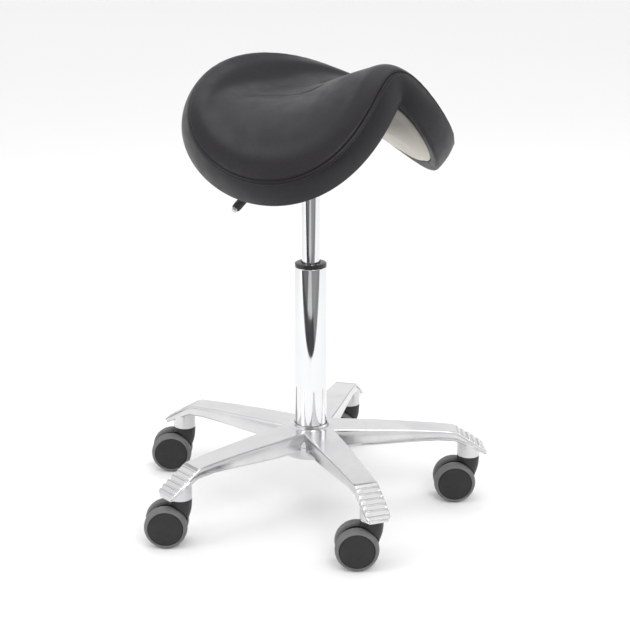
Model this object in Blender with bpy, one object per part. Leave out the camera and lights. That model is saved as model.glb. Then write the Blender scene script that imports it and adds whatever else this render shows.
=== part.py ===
"""Saddle stool: a five-arm base on twin-wheel castors, a gas spring, and a padded saddle seat.

Metres, +Z up. The floor is z = 0, the saddle's pommel points to -Y, and the rider's right hand is towards -X.
"""

import math

import bmesh
import bpy
from mathutils import Matrix, Vector

GAP = 0.0003
CUT_MARGIN = 0.0050
ROUND_SIDES = 20
ROD_SIDES = 16
PIN_SIDES = 12

# Column axis, measured from the centre of the stool's own footprint.
COLUMN_X = 0.0263
COLUMN_Y = -0.0193

# Star base
ARM_COUNT = 5
FIRST_ARM_DEG = -114.3
ARM_STEP_DEG = 360 / ARM_COUNT
STEM_CIRCLE = 0.2495
HUB_RADIUS = 0.0310
HUB_BOTTOM = 0.0830
HUB_TOP = 0.1300
HUB_HALF_WIDTH = 0.0253
ARM_BOTTOM = 0.0985
ARM_BEVEL_WIDTH = 0.0025
ARM_BEVEL_DEPTH = 0.0020
ARM_GROOVE_DEPTH = 0.0040
ARM_FLANGE_INSET = 0.0015
ARM_FOOT_INSET = 0.0050
BOSS_RADIUS = 0.0178
BOSS_BOTTOM = 0.0735
BOSS_TOP = 0.0977
BOSS_TOP_SLOPE = 0.58
BARREL_PROFILE = (
    (0.0290, 0.0862), (0.0420, 0.0862), (0.0448, 0.0890), (0.0448, 0.1080), (0.0410, 0.1120), (0.0290, 0.1120),
)
ARM_SECTIONS = (
    # distance from the column axis, half width, top, bottom
    (0.1000, 0.0236, 0.1277, 0.1003),
    (0.1600, 0.0208, 0.1245, 0.1032),
    (0.1980, 0.0194, 0.1218, 0.1045),
    (0.2260, 0.0186, 0.1190, 0.1020),
)
ARM_END = (0.2768, 0.0182, 0.0850, 0.0785)
RIDGE_COUNT = 5
RIDGE_RISE = 0.0016
RIDGE_HALF_WIDTH = 0.0190
RIDGES_START = (0.2300, 0.1165)
RIDGES_END = (0.2730, 0.0885)
RIDGE_CREST, RIDGE_FOOT = 0.08, 0.72
ARM_END_THICKNESS = (0.0150, 0.0090)

# Castors. The wheels trail behind the stem, and their axle lies across that direction.
TRAIL_DEG = 135.0
TRAIL = 0.0215
WHEEL_RADIUS = 0.0325
WHEEL_OUTER_FACE = 0.0255
WHEEL_INNER_FACE = 0.0078
CORE_RADIUS = 0.0262
FORK_HALF = 0.0062
STEM_PIN_RADIUS = 0.0055
STEM_BOTTOM = 0.0620
STEM_TOP = 0.0950
AXLE_RADIUS = 0.0040
AXLE_HALF_LENGTH = 0.0205
WHEEL_SIDES = 16
WHEEL_CLEARANCE = 0.0014
GUARD_PROFILE = ((0, 0.0350), (0.0100, 0.0350), (0.0168, 0.0550), (0.0176, 0.0732), (0, 0.0732))
FORK_END_RADIUS = 0.0110
FORK_TOP = 0.0700
FORK_FRONT = ((-0.0140, FORK_TOP), (-0.0090, 0.0330))
FORK_BACK = (0.0120, FORK_TOP)

# Column and gas spring, all about the column axis
TUBE_RADIUS = 0.0250
TUBE_BORE = 0.0225
TUBE_BOTTOM = 0.0845
TUBE_TOP = 0.3880
CYLINDER_RADIUS = 0.0140
CYLINDER_BORE = 0.0120
CYLINDER_BOTTOM = 0.2360
CYLINDER_TOP = 0.5920
TAPER_START = 0.5250
ROD_RADIUS = 0.0050
ROD_FOOT_RADIUS = 0.0040
PISTON_ROD_BOTTOM = 0.0800
BUMP_STOP_TOP = 0.1155

# Height lever under the seat
LEVER_PIVOT_X = -0.0300
LEVER_HEIGHT = 0.6035
LEVER_RADIUS = 0.0040
LEVER_PIN_RADIUS = 0.0020
LEVER_PIN_HALF_LENGTH = 0.0115
LEVER_BEND = 0.0100
VALVE_PIN_BOTTOM = 0.5600
LEVER_CORNERS = (
    (0.0060, LEVER_HEIGHT),
    (-0.0480, LEVER_HEIGHT),
    (-0.0780, 0.5560),
    (-0.1570, 0.5020),
)
GRIP_LENGTH = 0.0500
GRIP_RADIUS = 0.0066
GRIP_END_RADIUS = 0.0058
ROD_TIP = 0.0040

# Seat bracket
PLATE_BOTTOM = 0.6100
PLATE_TOP = 0.6130
PLATE_HALF_X = 0.0400
PLATE_HALF_Y = 0.0450
BOLT_X = 0.0300
BOLT_Y = 0.0340
BOLT_RADIUS = 0.0040
BOLT_HEAD_RADIUS = 0.0065
BOLT_HEAD_HEIGHT = 0.0055
BOLT_REACH = 0.0110
EAR_SPACING = 0.0085
EAR_HALF_WIDTH = 0.0015
EAR_HALF_LENGTH = 0.0060
SOCKET_BOTTOM = 0.5220
SOCKET_SHOULDER = 0.5600
SOCKET_NOSE_RADIUS = 0.0175
SOCKET_RADIUS = 0.0200
PAD_MARGIN = 0.0020
PAD_TOP = 0.6270

# Saddle. Round the rim the angle runs from the pommel, 0, over the rider's left flap to the cantle, half a turn.
SEAT_SIDES = 28
RIM_CENTRE = 0.0624
RIM_LENGTH = 0.1613
RIM_FRONT_TAPER = -0.0402
RIM_SQUARENESS = -0.0079
RIM_WIDTH = 0.1956
RIM_REAR_FLARE = -0.0497
RIM_SIDE_FULLNESS = 0.0021
RIM_HEIGHT = 0.6335
RIM_PITCH = 0.0059
RIM_DROP = 0.0669
DISH_HEIGHT = 0.6551
DISH_CENTRE = -0.0532
DISH_POWER = 3.13
POMMEL_CROWN = 0.0157
THIGH_CROWN = 0.0113
BAND_DEPTH = 0.0526
BAND_DEPTH_REAR = 0.0074
BAND_BULGE = 0.0034
BAND_FLARE = 0.0139
UNDERSIDE_HEIGHT = 0.6185
UNDERSIDE_CENTRE_Y = 0.0100
UNDERSIDE_POWER = 3.0
COVER_THICKNESS = 0.0020
SHELL_THICKNESS = 0.0050
FOAM_EDGE_ROOM = 0.0015
WRAP_REACH = 0.945
TOP_REACHES = (0, 0.25, 0.5, 0.7, 0.85, 0.985)
SIDE_SHARES = (0.33, 0.67)
UNDERSIDE_REACHES = (0, 0.3, 0.6, 0.8, 0.935)
SLOPE_STEP = 0.01
SEAM_EASING = 0.30


def clear_scene():
    for existing in list(bpy.data.objects):
        bpy.data.objects.remove(existing, do_unlink=True)


def material(name, colour, roughness, metallic=0.0):
    made = bpy.data.materials.new(name)
    made.use_nodes = True
    shader = made.node_tree.nodes["Principled BSDF"]
    shader.inputs["Base Color"].default_value = (*colour, 1.0)
    shader.inputs["Roughness"].default_value = roughness
    shader.inputs["Metallic"].default_value = metallic
    made.diffuse_color = (*colour, 1.0)
    return made


def empty(name, parent=None, location=(0, 0, 0), turn_deg=0.0):
    made = bpy.data.objects.new(name, None)
    bpy.context.scene.collection.objects.link(made)
    made.location = location
    made.rotation_euler.z = math.radians(turn_deg)
    made.parent = parent
    return made


def object_from(bm, name, finish, parent, smooth_deg=35.0):
    """Turns a bmesh into a named object whose faces point outwards."""
    bmesh.ops.remove_doubles(bm, verts=bm.verts, dist=1e-6)
    bmesh.ops.recalc_face_normals(bm, faces=bm.faces)
    mesh = bpy.data.meshes.new(name)
    bm.to_mesh(mesh)
    bm.free()
    mesh.shade_smooth()
    mesh.set_sharp_from_angle(angle=math.radians(smooth_deg))
    if finish:
        mesh.materials.append(finish)
    made = bpy.data.objects.new(name, mesh)
    bpy.context.scene.collection.objects.link(made)
    made.parent = parent
    return made


def turned_bmesh(profile, sides):
    """Spins a closed outline of (radius, height) points about +Z, with a flat side facing +X."""
    bm = bmesh.new()
    half_side = math.pi / sides
    points = [bm.verts.new((r * math.cos(half_side), r * math.sin(half_side), z)) for r, z in profile]
    edges = [bm.edges.new((a, b)) for a, b in zip(points, points[1:] + points[:1])]
    bmesh.ops.spin(bm, geom=points + edges, cent=(0, 0, 0), axis=(0, 0, 1), angle=math.tau, steps=sides)
    bmesh.ops.remove_doubles(bm, verts=bm.verts, dist=1e-6)
    on_axis = [e for e in bm.edges if not e.link_faces]
    bmesh.ops.delete(bm, geom=on_axis, context="EDGES")
    return bm


def turned(name, profile, finish, parent, sides=ROUND_SIDES):
    return object_from(turned_bmesh(profile, sides), name, finish, parent)


def ring(name, inner, outer, bottom, top, finish, parent, sides=ROUND_SIDES):
    return turned(name, [(inner, bottom), (outer, bottom), (outer, top), (inner, top)], finish, parent, sides)


def disc_profile(radius, bottom, top):
    return [(0, bottom), (radius, bottom), (radius, top), (0, top)]


def box_bmesh(low, high):
    bm = bmesh.new()
    bmesh.ops.create_cube(bm, size=1.0)
    low, high = Vector(low), Vector(high)
    bmesh.ops.scale(bm, vec=high - low, verts=bm.verts)
    bmesh.ops.translate(bm, vec=(low + high) / 2, verts=bm.verts)
    return bm


def helper(bm, name, parent):
    """A shape that only cuts or joins another one."""
    made = object_from(bm, name, None, parent)
    made.hide_render = True
    made.display_type = "WIRE"
    return made


def combine(target, other, operation):
    modifier = target.modifiers.new(other.name, "BOOLEAN")
    modifier.operation = operation
    modifier.solver = "EXACT"
    modifier.object = other


def merged(shapes):
    """Puts several bmeshes into one."""
    bm = bmesh.new()
    for shape, matrix in shapes:
        shape.transform(matrix)
        mesh = bpy.data.meshes.new("merged")
        shape.to_mesh(mesh)
        shape.free()
        bm.from_mesh(mesh)
        bpy.data.meshes.remove(mesh)
    return bm


def lofted(rings):
    """Joins rings of points, each with the same count, into one closed skin."""
    bm = bmesh.new()
    rows = [[bm.verts.new(p) for p in row] for row in rings]
    for low, high in zip(rows, rows[1:]):
        for i in range(len(low)):
            j = (i + 1) % len(low)
            bm.faces.new((low[i], low[j], high[j], high[i]))
    bm.faces.new(rows[0])
    bm.faces.new(rows[-1])
    return bm


# ---------------------------------------------------------------- star base


def arm_section(radius, half_width, top, bottom, raised=0.0):
    """A cast arm's section: a flat top with bevelled edges, and sides with a shallow groove."""
    depth = top - bottom
    half = [
        (half_width - ARM_BEVEL_WIDTH, top + raised),
        (half_width, top - ARM_BEVEL_DEPTH),
        (half_width - ARM_GROOVE_DEPTH, top - 0.45 * depth),
        (half_width - ARM_FLANGE_INSET, bottom + 0.20 * depth),
        (half_width - ARM_FOOT_INSET, bottom),
    ]
    outline = half + [(-y, z) for y, z in reversed(half)]
    return [Vector((radius, y, z)) for y, z in outline]


def valley_section():
    """The arm's section where it meets its two neighbours, moved onto the planes halfway between the arms."""
    section = arm_section(0, HUB_HALF_WIDTH, HUB_TOP, ARM_BOTTOM)
    reach = 1 / math.tan(math.radians(ARM_STEP_DEG / 2))
    return [Vector((abs(point.y) * reach, point.y, point.z)) for point in section]


def arm_sections():
    """One arm along +X: nearly level, then bent down to a ridged end over the castor."""
    sections = [valley_section()] + [arm_section(*measures) for measures in ARM_SECTIONS]
    slope_start, slope_end = Vector(RIDGES_START), Vector(RIDGES_END)
    thick, thin = ARM_END_THICKNESS
    for ridge in range(RIDGE_COUNT):
        for share, raised in ((RIDGE_CREST, RIDGE_RISE), (RIDGE_FOOT, 0.0)):
            along = (ridge + share) / RIDGE_COUNT
            place = slope_start.lerp(slope_end, along)
            bottom = place.y - thick + (thick - thin) * along
            sections.append(arm_section(place.x, RIDGE_HALF_WIDTH, place.y, bottom, raised))
    return sections + [arm_section(*ARM_END)]


def hub_arc(radius, height):
    """The hub's points within one arm's share of the turn."""
    steps = ROUND_SIDES // ARM_COUNT
    turns = [math.radians(ARM_STEP_DEG * (k / steps - 0.5)) for k in range(steps + 1)]
    return [Vector((radius * math.cos(t), radius * math.sin(t), height)) for t in turns]


def star_bmesh():
    """The whole casting: each arm's sections joined lengthwise, and closed round the hub's barrel and bore."""
    bm = bmesh.new()
    bore = (TUBE_RADIUS + GAP) / math.cos(math.pi / ROUND_SIDES)
    hub_outline = [(HUB_RADIUS, ARM_BOTTOM), (HUB_RADIUS, HUB_BOTTOM), (bore, HUB_BOTTOM), (bore, HUB_TOP)]
    for i in range(ARM_COUNT):
        turn = Matrix.Rotation(math.radians(FIRST_ARM_DEG + ARM_STEP_DEG * i), 4, "Z")
        rows = [[bm.verts.new(turn @ p) for p in row] for row in arm_sections()]
        for near, far in zip(rows, rows[1:]):
            for k in range(len(near)):
                after = (k + 1) % len(near)
                bm.faces.new((near[k], near[after], far[after], far[k]))
        bm.faces.new(rows[-1])
        arcs = [[bm.verts.new(turn @ p) for p in hub_arc(*place)] for place in hub_outline]
        for near, far in zip(arcs, arcs[1:]):
            for k in range(len(near) - 1):
                bm.faces.new((near[k], near[k + 1], far[k + 1], far[k]))
        valley = rows[0]
        half = len(valley) // 2
        bm.faces.new([valley[0], valley[-1]] + arcs[-1])
        bm.faces.new([valley[half - 1], valley[half]] + arcs[0])
    return bm


def boss_bmesh():
    """A castor boss. Its top follows the arm's slope, so that it stays inside the casting."""
    bm = turned_bmesh(disc_profile(BOSS_RADIUS, BOSS_BOTTOM, BOSS_TOP), ROUND_SIDES)
    for vert in bm.verts:
        if vert.co.z > BOSS_BOTTOM + CUT_MARGIN:
            vert.co.z = BOSS_TOP - BOSS_TOP_SLOPE * vert.co.x
    return bm


def star_base(stool, aluminium):
    star = object_from(star_bmesh(), "star_base", aluminium, stool)
    bosses, stem_holes = [], []
    for i in range(ARM_COUNT):
        turn = Matrix.Rotation(math.radians(FIRST_ARM_DEG + ARM_STEP_DEG * i), 4, "Z")
        place = turn @ Matrix.Translation((STEM_CIRCLE, 0, 0))
        stem_hole = disc_profile(STEM_PIN_RADIUS + GAP, BOSS_BOTTOM - CUT_MARGIN, STEM_TOP + 0.0005)
        bosses.append((boss_bmesh(), place))
        stem_holes.append((turned_bmesh(stem_hole, PIN_SIDES), place))
    barrel = turned_bmesh(BARREL_PROFILE, ROUND_SIDES)
    combine(star, helper(merged(bosses), "boss_shapes", stool), "UNION")
    combine(star, helper(barrel, "hub_barrel", stool), "UNION")
    combine(star, helper(merged(stem_holes), "stem_holes", stool), "DIFFERENCE")


# ---------------------------------------------------------------- castors


def caster_body_bmesh():
    """The swivel body round the stem: a neck that drops into a guard in front of the wheels."""
    return turned_bmesh(GUARD_PROFILE, ROUND_SIDES)


def fork_plate_bmesh():
    """The plate between the two wheels: round over the axle, and straight up to the neck."""
    outline = list(FORK_FRONT)
    for turn_deg in range(-110, 70, 20):
        turn = math.radians(turn_deg)
        x, z = FORK_END_RADIUS * math.cos(turn), FORK_END_RADIUS * math.sin(turn)
        outline.append((TRAIL + x, WHEEL_RADIUS + z))
    outline.append(FORK_BACK)
    return lofted([[(x, side * FORK_HALF, z) for x, z in outline] for side in (-1, 1)])


def along_axle(bm, centre=0.0):
    """Turns a bmesh made about +Z so that its axis lies along the axle."""
    turn = Matrix.Rotation(math.radians(-90), 4, "X")
    return bm, Matrix.Translation((TRAIL, 0, WHEEL_RADIUS)) @ turn @ Matrix.Translation((0, 0, centre))


def wheel_clearance_bmesh():
    """The room cut out of the guard for the two wheels."""
    half_length = 0.0200
    well = disc_profile(WHEEL_RADIUS + WHEEL_CLEARANCE, -half_length, half_length)
    middle = FORK_HALF + half_length + 0.0005
    return merged([along_axle(turned_bmesh(well, 24), side * middle) for side in (-1, 1)])


def core_profile():
    blind = WHEEL_OUTER_FACE - 0.0045
    return [
        (AXLE_RADIUS + GAP, WHEEL_INNER_FACE),
        (CORE_RADIUS, WHEEL_INNER_FACE),
        (CORE_RADIUS, WHEEL_OUTER_FACE),
        (0, WHEEL_OUTER_FACE),
        (0, blind),
        (AXLE_RADIUS + GAP, blind),
    ]


def tread_profile():
    rim = WHEEL_RADIUS / math.cos(math.pi / WHEEL_SIDES)
    return [
        (CORE_RADIUS + GAP, WHEEL_INNER_FACE),
        (rim - 0.0020, WHEEL_INNER_FACE),
        (rim, WHEEL_INNER_FACE + 0.0030),
        (rim, WHEEL_OUTER_FACE - 0.0040),
        (rim - 0.0025, WHEEL_OUTER_FACE - 0.0005),
        (CORE_RADIUS + GAP, WHEEL_OUTER_FACE),
    ]


def caster(number, stool, finishes):
    turn = math.radians(FIRST_ARM_DEG + ARM_STEP_DEG * (number - 1))
    stem_place = (STEM_CIRCLE * math.cos(turn), STEM_CIRCLE * math.sin(turn), 0)
    arm_frame = empty(f"stem_frame_{number}", stool, stem_place, math.degrees(turn))
    stem_outline = disc_profile(STEM_PIN_RADIUS, STEM_BOTTOM, STEM_TOP)
    turned(f"caster_stem_{number}", stem_outline, finishes["steel"], arm_frame, PIN_SIDES)

    swivel = empty(f"caster_swivel_{number}", stool, stem_place, TRAIL_DEG)
    body = object_from(caster_body_bmesh(), f"caster_body_{number}", finishes["nylon"], swivel)
    combine(body, helper(wheel_clearance_bmesh(), f"wheel_well_{number}", swivel), "DIFFERENCE")
    combine(body, helper(fork_plate_bmesh(), f"fork_plate_{number}", swivel), "UNION")
    stem_hole = disc_profile(STEM_PIN_RADIUS + GAP, STEM_BOTTOM - 0.0010, BOSS_BOTTOM + CUT_MARGIN)
    axle_hole = disc_profile(AXLE_RADIUS + GAP, -AXLE_HALF_LENGTH, AXLE_HALF_LENGTH)
    arm_turn = Matrix.Rotation(turn - math.radians(TRAIL_DEG), 4, "Z")
    stem_cut = (turned_bmesh(stem_hole, PIN_SIDES), arm_turn)
    holes = merged([stem_cut, along_axle(turned_bmesh(axle_hole, PIN_SIDES))])
    combine(body, helper(holes, f"caster_holes_{number}", swivel), "DIFFERENCE")

    axle_frame = empty(f"axle_frame_{number}", swivel, (TRAIL, 0, WHEEL_RADIUS))
    axle_frame.rotation_euler.x = math.radians(-90)
    axle_outline = disc_profile(AXLE_RADIUS, -AXLE_HALF_LENGTH, AXLE_HALF_LENGTH)
    turned(f"caster_axle_{number}", axle_outline, finishes["steel"], axle_frame, PIN_SIDES)
    for side, tip in (("a", 0), ("b", math.pi)):
        spin = empty(f"wheel_spin_{number}_{side}", axle_frame)
        spin.rotation_euler.x = tip
        turned(f"wheel_core_{number}_{side}", core_profile(), finishes["hub_grey"], spin, WHEEL_SIDES)
        turned(f"wheel_tread_{number}_{side}", tread_profile(), finishes["tread"], spin, WHEEL_SIDES)


# ---------------------------------------------------------------- column and gas spring


def column(stool, finishes):
    steel, chrome, plastic = finishes["steel"], finishes["chrome"], finishes["black_plastic"]
    foot_hole = ROD_FOOT_RADIUS + GAP
    tube_floor = TUBE_BOTTOM + 0.0040
    tube_profile = [
        (foot_hole, TUBE_BOTTOM),
        (TUBE_RADIUS, TUBE_BOTTOM),
        (TUBE_RADIUS, TUBE_TOP),
        (TUBE_BORE, TUBE_TOP),
        (TUBE_BORE, tube_floor),
        (foot_hole, tube_floor),
    ]
    turned("column_tube", tube_profile, chrome, stool)
    slide_fit = CYLINDER_RADIUS + GAP
    ring("guide_bush", slide_fit, TUBE_BORE - GAP, 0.3000, TUBE_TOP, plastic, stool)
    ring("column_collar", slide_fit, TUBE_RADIUS - 0.0004, TUBE_TOP + GAP, TUBE_TOP + 0.0065, plastic, stool)
    bearing_bottom, bearing_top = tube_floor + GAP, tube_floor + 0.0053
    ring("thrust_bearing", foot_hole, 0.0110, bearing_bottom, bearing_top, steel, stool)

    piston = empty("piston_turn", stool)
    shoulder = bearing_top + GAP
    rod_top = CYLINDER_BOTTOM + 0.0300
    rod_profile = [
        (0, PISTON_ROD_BOTTOM),
        (ROD_FOOT_RADIUS, PISTON_ROD_BOTTOM),
        (ROD_FOOT_RADIUS, shoulder),
        (ROD_RADIUS, shoulder),
        (ROD_RADIUS, rod_top),
        (0, rod_top),
    ]
    turned("piston_rod", rod_profile, chrome, piston, ROD_SIDES)
    clip_bottom, clip_top = TUBE_BOTTOM - 0.0018, TUBE_BOTTOM - GAP
    ring("retaining_clip", foot_hole, 0.0085, clip_bottom, clip_top, steel, piston, ROD_SIDES)
    rod_hole = ROD_RADIUS + GAP
    ring("bump_stop", rod_hole, 0.0110, shoulder, BUMP_STOP_TOP, finishes["rubber"], piston, ROD_SIDES)
    piston_bottom = CYLINDER_BOTTOM + 0.0145
    piston_top = piston_bottom + 0.0135
    ring("piston", rod_hole, CYLINDER_BORE - GAP, piston_bottom, piston_top, steel, piston, ROD_SIDES)


def gas_cylinder(seat, finishes):
    pin_hole = LEVER_PIN_RADIUS + GAP
    roof = CYLINDER_TOP - 0.0040
    profile = [
        (CYLINDER_BORE, CYLINDER_BOTTOM),
        (CYLINDER_RADIUS, CYLINDER_BOTTOM),
            (CYLINDER_RADIUS, TAPER_START),
        (CYLINDER_RADIUS - 0.0008, CYLINDER_TOP),
        (pin_hole, CYLINDER_TOP),
        (pin_hole, roof),
        (CYLINDER_BORE, roof),
    ]
    turned("gas_cylinder", profile, finishes["chrome"], seat)
    seal_bottom, seal_top = CYLINDER_BOTTOM + GAP, CYLINDER_BOTTOM + 0.0140
    seal_inner, seal_outer = ROD_RADIUS + GAP, CYLINDER_BORE - GAP
    ring("rod_seal", seal_inner, seal_outer, seal_bottom, seal_top, finishes["rubber"], seat, ROD_SIDES)


# ---------------------------------------------------------------- bracket and lever


def seat_bracket(seat, finishes):
    steel = finishes["black_steel"]
    plate_low = (-PLATE_HALF_X, -PLATE_HALF_Y, PLATE_BOTTOM)
    plate_high = (PLATE_HALF_X, PLATE_HALF_Y, PLATE_TOP)
    plate = object_from(box_bmesh(plate_low, plate_high), "seat_bracket", steel, seat)
    for name, middle in (("right_ear", -EAR_SPACING), ("left_ear", EAR_SPACING)):
        ear_low = (LEVER_PIVOT_X - EAR_HALF_LENGTH, middle - EAR_HALF_WIDTH, LEVER_HEIGHT - EAR_HALF_LENGTH)
        ear_high = (LEVER_PIVOT_X + EAR_HALF_LENGTH, middle + EAR_HALF_WIDTH, PLATE_BOTTOM + 0.0010)
        combine(plate, helper(box_bmesh(ear_low, ear_high), name, seat), "UNION")
    across = Matrix.Translation((LEVER_PIVOT_X, 0, LEVER_HEIGHT)) @ Matrix.Rotation(math.radians(90), 4, "X")
    holes = [(pivot_hole_bmesh(), across)]
    holes += bolt_holes(BOLT_RADIUS + GAP, PLATE_BOTTOM - CUT_MARGIN, PLATE_TOP + CUT_MARGIN)
    combine(plate, helper(merged(holes), "bracket_holes", seat), "DIFFERENCE")

    pin_outline = disc_profile(LEVER_PIN_RADIUS, -LEVER_PIN_HALF_LENGTH, LEVER_PIN_HALF_LENGTH)
    pin = turned("lever_pivot_pin", pin_outline, finishes["steel"], seat, PIN_SIDES)
    pin.location = (LEVER_PIVOT_X, 0, LEVER_HEIGHT)
    pin.rotation_euler.x = math.radians(90)

    socket_top = PLATE_BOTTOM - GAP
    socket_bore = CYLINDER_RADIUS + GAP
    socket_profile = [
        (socket_bore, SOCKET_BOTTOM),
        (SOCKET_NOSE_RADIUS, SOCKET_BOTTOM),
        (SOCKET_RADIUS, SOCKET_SHOULDER),
        (SOCKET_RADIUS, socket_top),
        (socket_bore, socket_top),
    ]
    socket = turned("taper_socket", socket_profile, steel, seat)
    slot_half = LEVER_RADIUS + 0.0015
    slot_low = (-1.5 * SOCKET_RADIUS, -slot_half, LEVER_HEIGHT - 2 * LEVER_RADIUS)
    slot = box_bmesh(slot_low, (0, slot_half, PLATE_BOTTOM + CUT_MARGIN))
    combine(socket, helper(slot, "lever_slot", seat), "DIFFERENCE")
    for number, (x, y) in enumerate(bolt_places(), 1):
        head_bottom = PLATE_BOTTOM - BOLT_HEAD_HEIGHT
        profile = [
            (0, head_bottom),
            (BOLT_HEAD_RADIUS, head_bottom),
            (BOLT_HEAD_RADIUS, PLATE_BOTTOM - GAP),
            (BOLT_RADIUS, PLATE_BOTTOM - GAP),
            (BOLT_RADIUS, PLATE_TOP + BOLT_REACH),
            (0, PLATE_TOP + BOLT_REACH),
        ]
        bolt = turned(f"seat_bolt_{number}", profile, finishes["steel"], seat, 6)
        bolt.location = (x, y, 0)


def pivot_hole_bmesh():
    """A cutter for the lever's pivot pin, about +Z."""
    reach = LEVER_PIN_HALF_LENGTH + CUT_MARGIN
    return turned_bmesh(disc_profile(LEVER_PIN_RADIUS + GAP, -reach, reach), PIN_SIDES)


def bolt_places():
    return [(x, y) for x in (-BOLT_X, BOLT_X) for y in (-BOLT_Y, BOLT_Y)]


def bolt_holes(radius, bottom, top):
    """Six-sided, so that they stay clear of the six-sided bolts."""
    profile = disc_profile(radius, bottom, top)
    return [(turned_bmesh(profile, 6), Matrix.Translation((x, y, 0))) for x, y in bolt_places()]


def tube_along(points, radius, sides=10):
    """Sweeps a round section along a path, kept upright by the world's Y axis."""
    path = [Vector(p) for p in points]
    rows = []
    for i, here in enumerate(path):
        ahead, behind = path[min(i + 1, len(path) - 1)], path[max(i - 1, 0)]
        along = (ahead - behind).normalized()
        side = along.cross(Vector((0, 1, 0))).normalized()
        other = along.cross(side)
        turns = [math.tau * k / sides for k in range(sides)]
        rows.append([here + radius * (math.cos(a) * side + math.sin(a) * other) for a in turns])
    return lofted(rows)


def rounded_path(corners, setback):
    """A path through the corners, with each inner corner cut back and rounded by one point."""
    path = [corners[0]]
    for before, corner, after in zip(corners, corners[1:], corners[2:]):
        start = corner + (before - corner).normalized() * setback
        end = corner + (after - corner).normalized() * setback
        path += [start, (start + 2 * corner + end) / 4, end]
    return path + [corners[-1]]


def lever(seat, finishes):
    pivot_place = Vector((LEVER_PIVOT_X, 0, LEVER_HEIGHT))
    pivot = empty("lever_pivot", seat, pivot_place)
    corners = [Vector((x, 0, z)) - pivot_place for x, z in LEVER_CORNERS]
    end, down = corners[-1], (corners[-1] - corners[-2]).normalized()
    path = rounded_path(corners, LEVER_BEND)
    rod = object_from(tube_along(path, LEVER_RADIUS), "lever_rod", finishes["steel"], pivot)
    across = Matrix.Rotation(math.radians(90), 4, "X")
    combine(rod, helper(merged([(pivot_hole_bmesh(), across)]), "lever_hole", pivot), "DIFFERENCE")

    grip_profile = [
        (LEVER_RADIUS + GAP, 0),
        (GRIP_END_RADIUS, 0),
        (GRIP_RADIUS, 0.0040),
        (GRIP_RADIUS, GRIP_LENGTH - 0.0030),
        (GRIP_END_RADIUS, GRIP_LENGTH),
        (LEVER_RADIUS + GAP, GRIP_LENGTH),
    ]
    grip = turned_bmesh(grip_profile, ROD_SIDES)
    direction = down.to_track_quat("Z", "Y").to_matrix().to_4x4()
    grip.transform(Matrix.Translation(end - (GRIP_LENGTH + ROD_TIP) * down) @ direction)
    object_from(grip, "lever_grip", finishes["black_plastic"], pivot)

    pin_profile = disc_profile(LEVER_PIN_RADIUS, VALVE_PIN_BOTTOM, LEVER_HEIGHT - LEVER_RADIUS - 0.0005)
    turned("valve_pin", pin_profile, finishes["steel"], empty("valve_slide", seat), PIN_SIDES)


# ---------------------------------------------------------------- saddle


def rim_point(turn):
    """A point of the seam that runs round the seat's top panel: x to the rider's left, y to the cantle."""
    forward = RIM_CENTRE + RIM_LENGTH * math.cos(turn)
    forward += RIM_FRONT_TAPER * math.cos(2 * turn) + RIM_SQUARENESS * math.cos(3 * turn)
    sideways = RIM_WIDTH * math.sin(turn) + RIM_REAR_FLARE * math.sin(2 * turn)
    sideways += RIM_SIDE_FULLNESS * math.sin(3 * turn)
    return forward, sideways


def top_point(reach, turn):
    """The seat's top surface, from its dish (reach 0) to the seam (reach 1)."""
    forward, sideways = rim_point(turn)
    height = DISH_HEIGHT + RIM_PITCH * math.cos(turn) * reach + RIM_DROP * math.cos(2 * turn) * reach**2
    height += (RIM_HEIGHT - DISH_HEIGHT) * reach**DISH_POWER
    crown = POMMEL_CROWN * ((1 + math.cos(turn)) / 2) ** 2 + THIGH_CROWN * math.sin(turn) ** 2
    height += 4 * reach**2 * (1 - reach**2) * crown
    return Vector((sideways * reach, -(DISH_CENTRE + (forward - DISH_CENTRE) * reach), height))


def surface_normal(surface, reach, turn):
    """The upward normal of a surface given by reach and turn, from small steps along each."""
    reach = max(reach, 2 * SLOPE_STEP)
    outwards = surface(reach + SLOPE_STEP, turn) - surface(reach - SLOPE_STEP, turn)
    around = surface(reach, turn + SLOPE_STEP) - surface(reach, turn - SLOPE_STEP)
    normal = outwards.cross(around).normalized()
    return normal if normal.z > 0 else -normal


def rim_frame(turn):
    """The seam point with its outward and upward directions, the upward one evened out along the seam."""
    nearby = (turn - SEAM_EASING, turn, turn + SEAM_EASING)
    normal = sum((surface_normal(top_point, 1.0, t) for t in nearby), Vector()).normalized()
    along = top_point(1.0, turn + SLOPE_STEP) - top_point(1.0, turn - SLOPE_STEP)
    outward = along.cross(normal).normalized()
    if outward.dot(top_point(1.0, turn) - top_point(0.9, turn)) < 0:
        outward = -outward
    return top_point(1.0, turn), outward, normal


def band_depth(turn):
    return BAND_DEPTH - BAND_DEPTH_REAR * math.cos(turn)


def side_point(share, turn, inset=0.0):
    """The side band's outer face, from the seam (share 0) to its lower edge (share 1)."""
    seam, outward, normal = rim_frame(turn)
    depth = band_depth(turn)
    swell = 4 * BAND_BULGE * share * (1 - share) + BAND_FLARE * share
    return seam + outward * (swell - inset) - normal * depth * share


def underside_point(reach, turn):
    """The saddle's underside, from its middle (reach 0) to the band's lower edge (reach 1)."""
    edge = side_point(1.0, turn)
    middle_y = UNDERSIDE_CENTRE_Y
    height = UNDERSIDE_HEIGHT + (edge.z - UNDERSIDE_HEIGHT) * reach**UNDERSIDE_POWER
    return Vector((edge.x * reach, middle_y + (edge.y - middle_y) * reach, height))


def below_top(reach, turn, depth):
    return top_point(reach, turn) - surface_normal(top_point, reach, turn) * depth


def above_underside(reach, turn, height):
    return underside_point(reach, turn) + surface_normal(underside_point, reach, turn) * height


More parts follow.
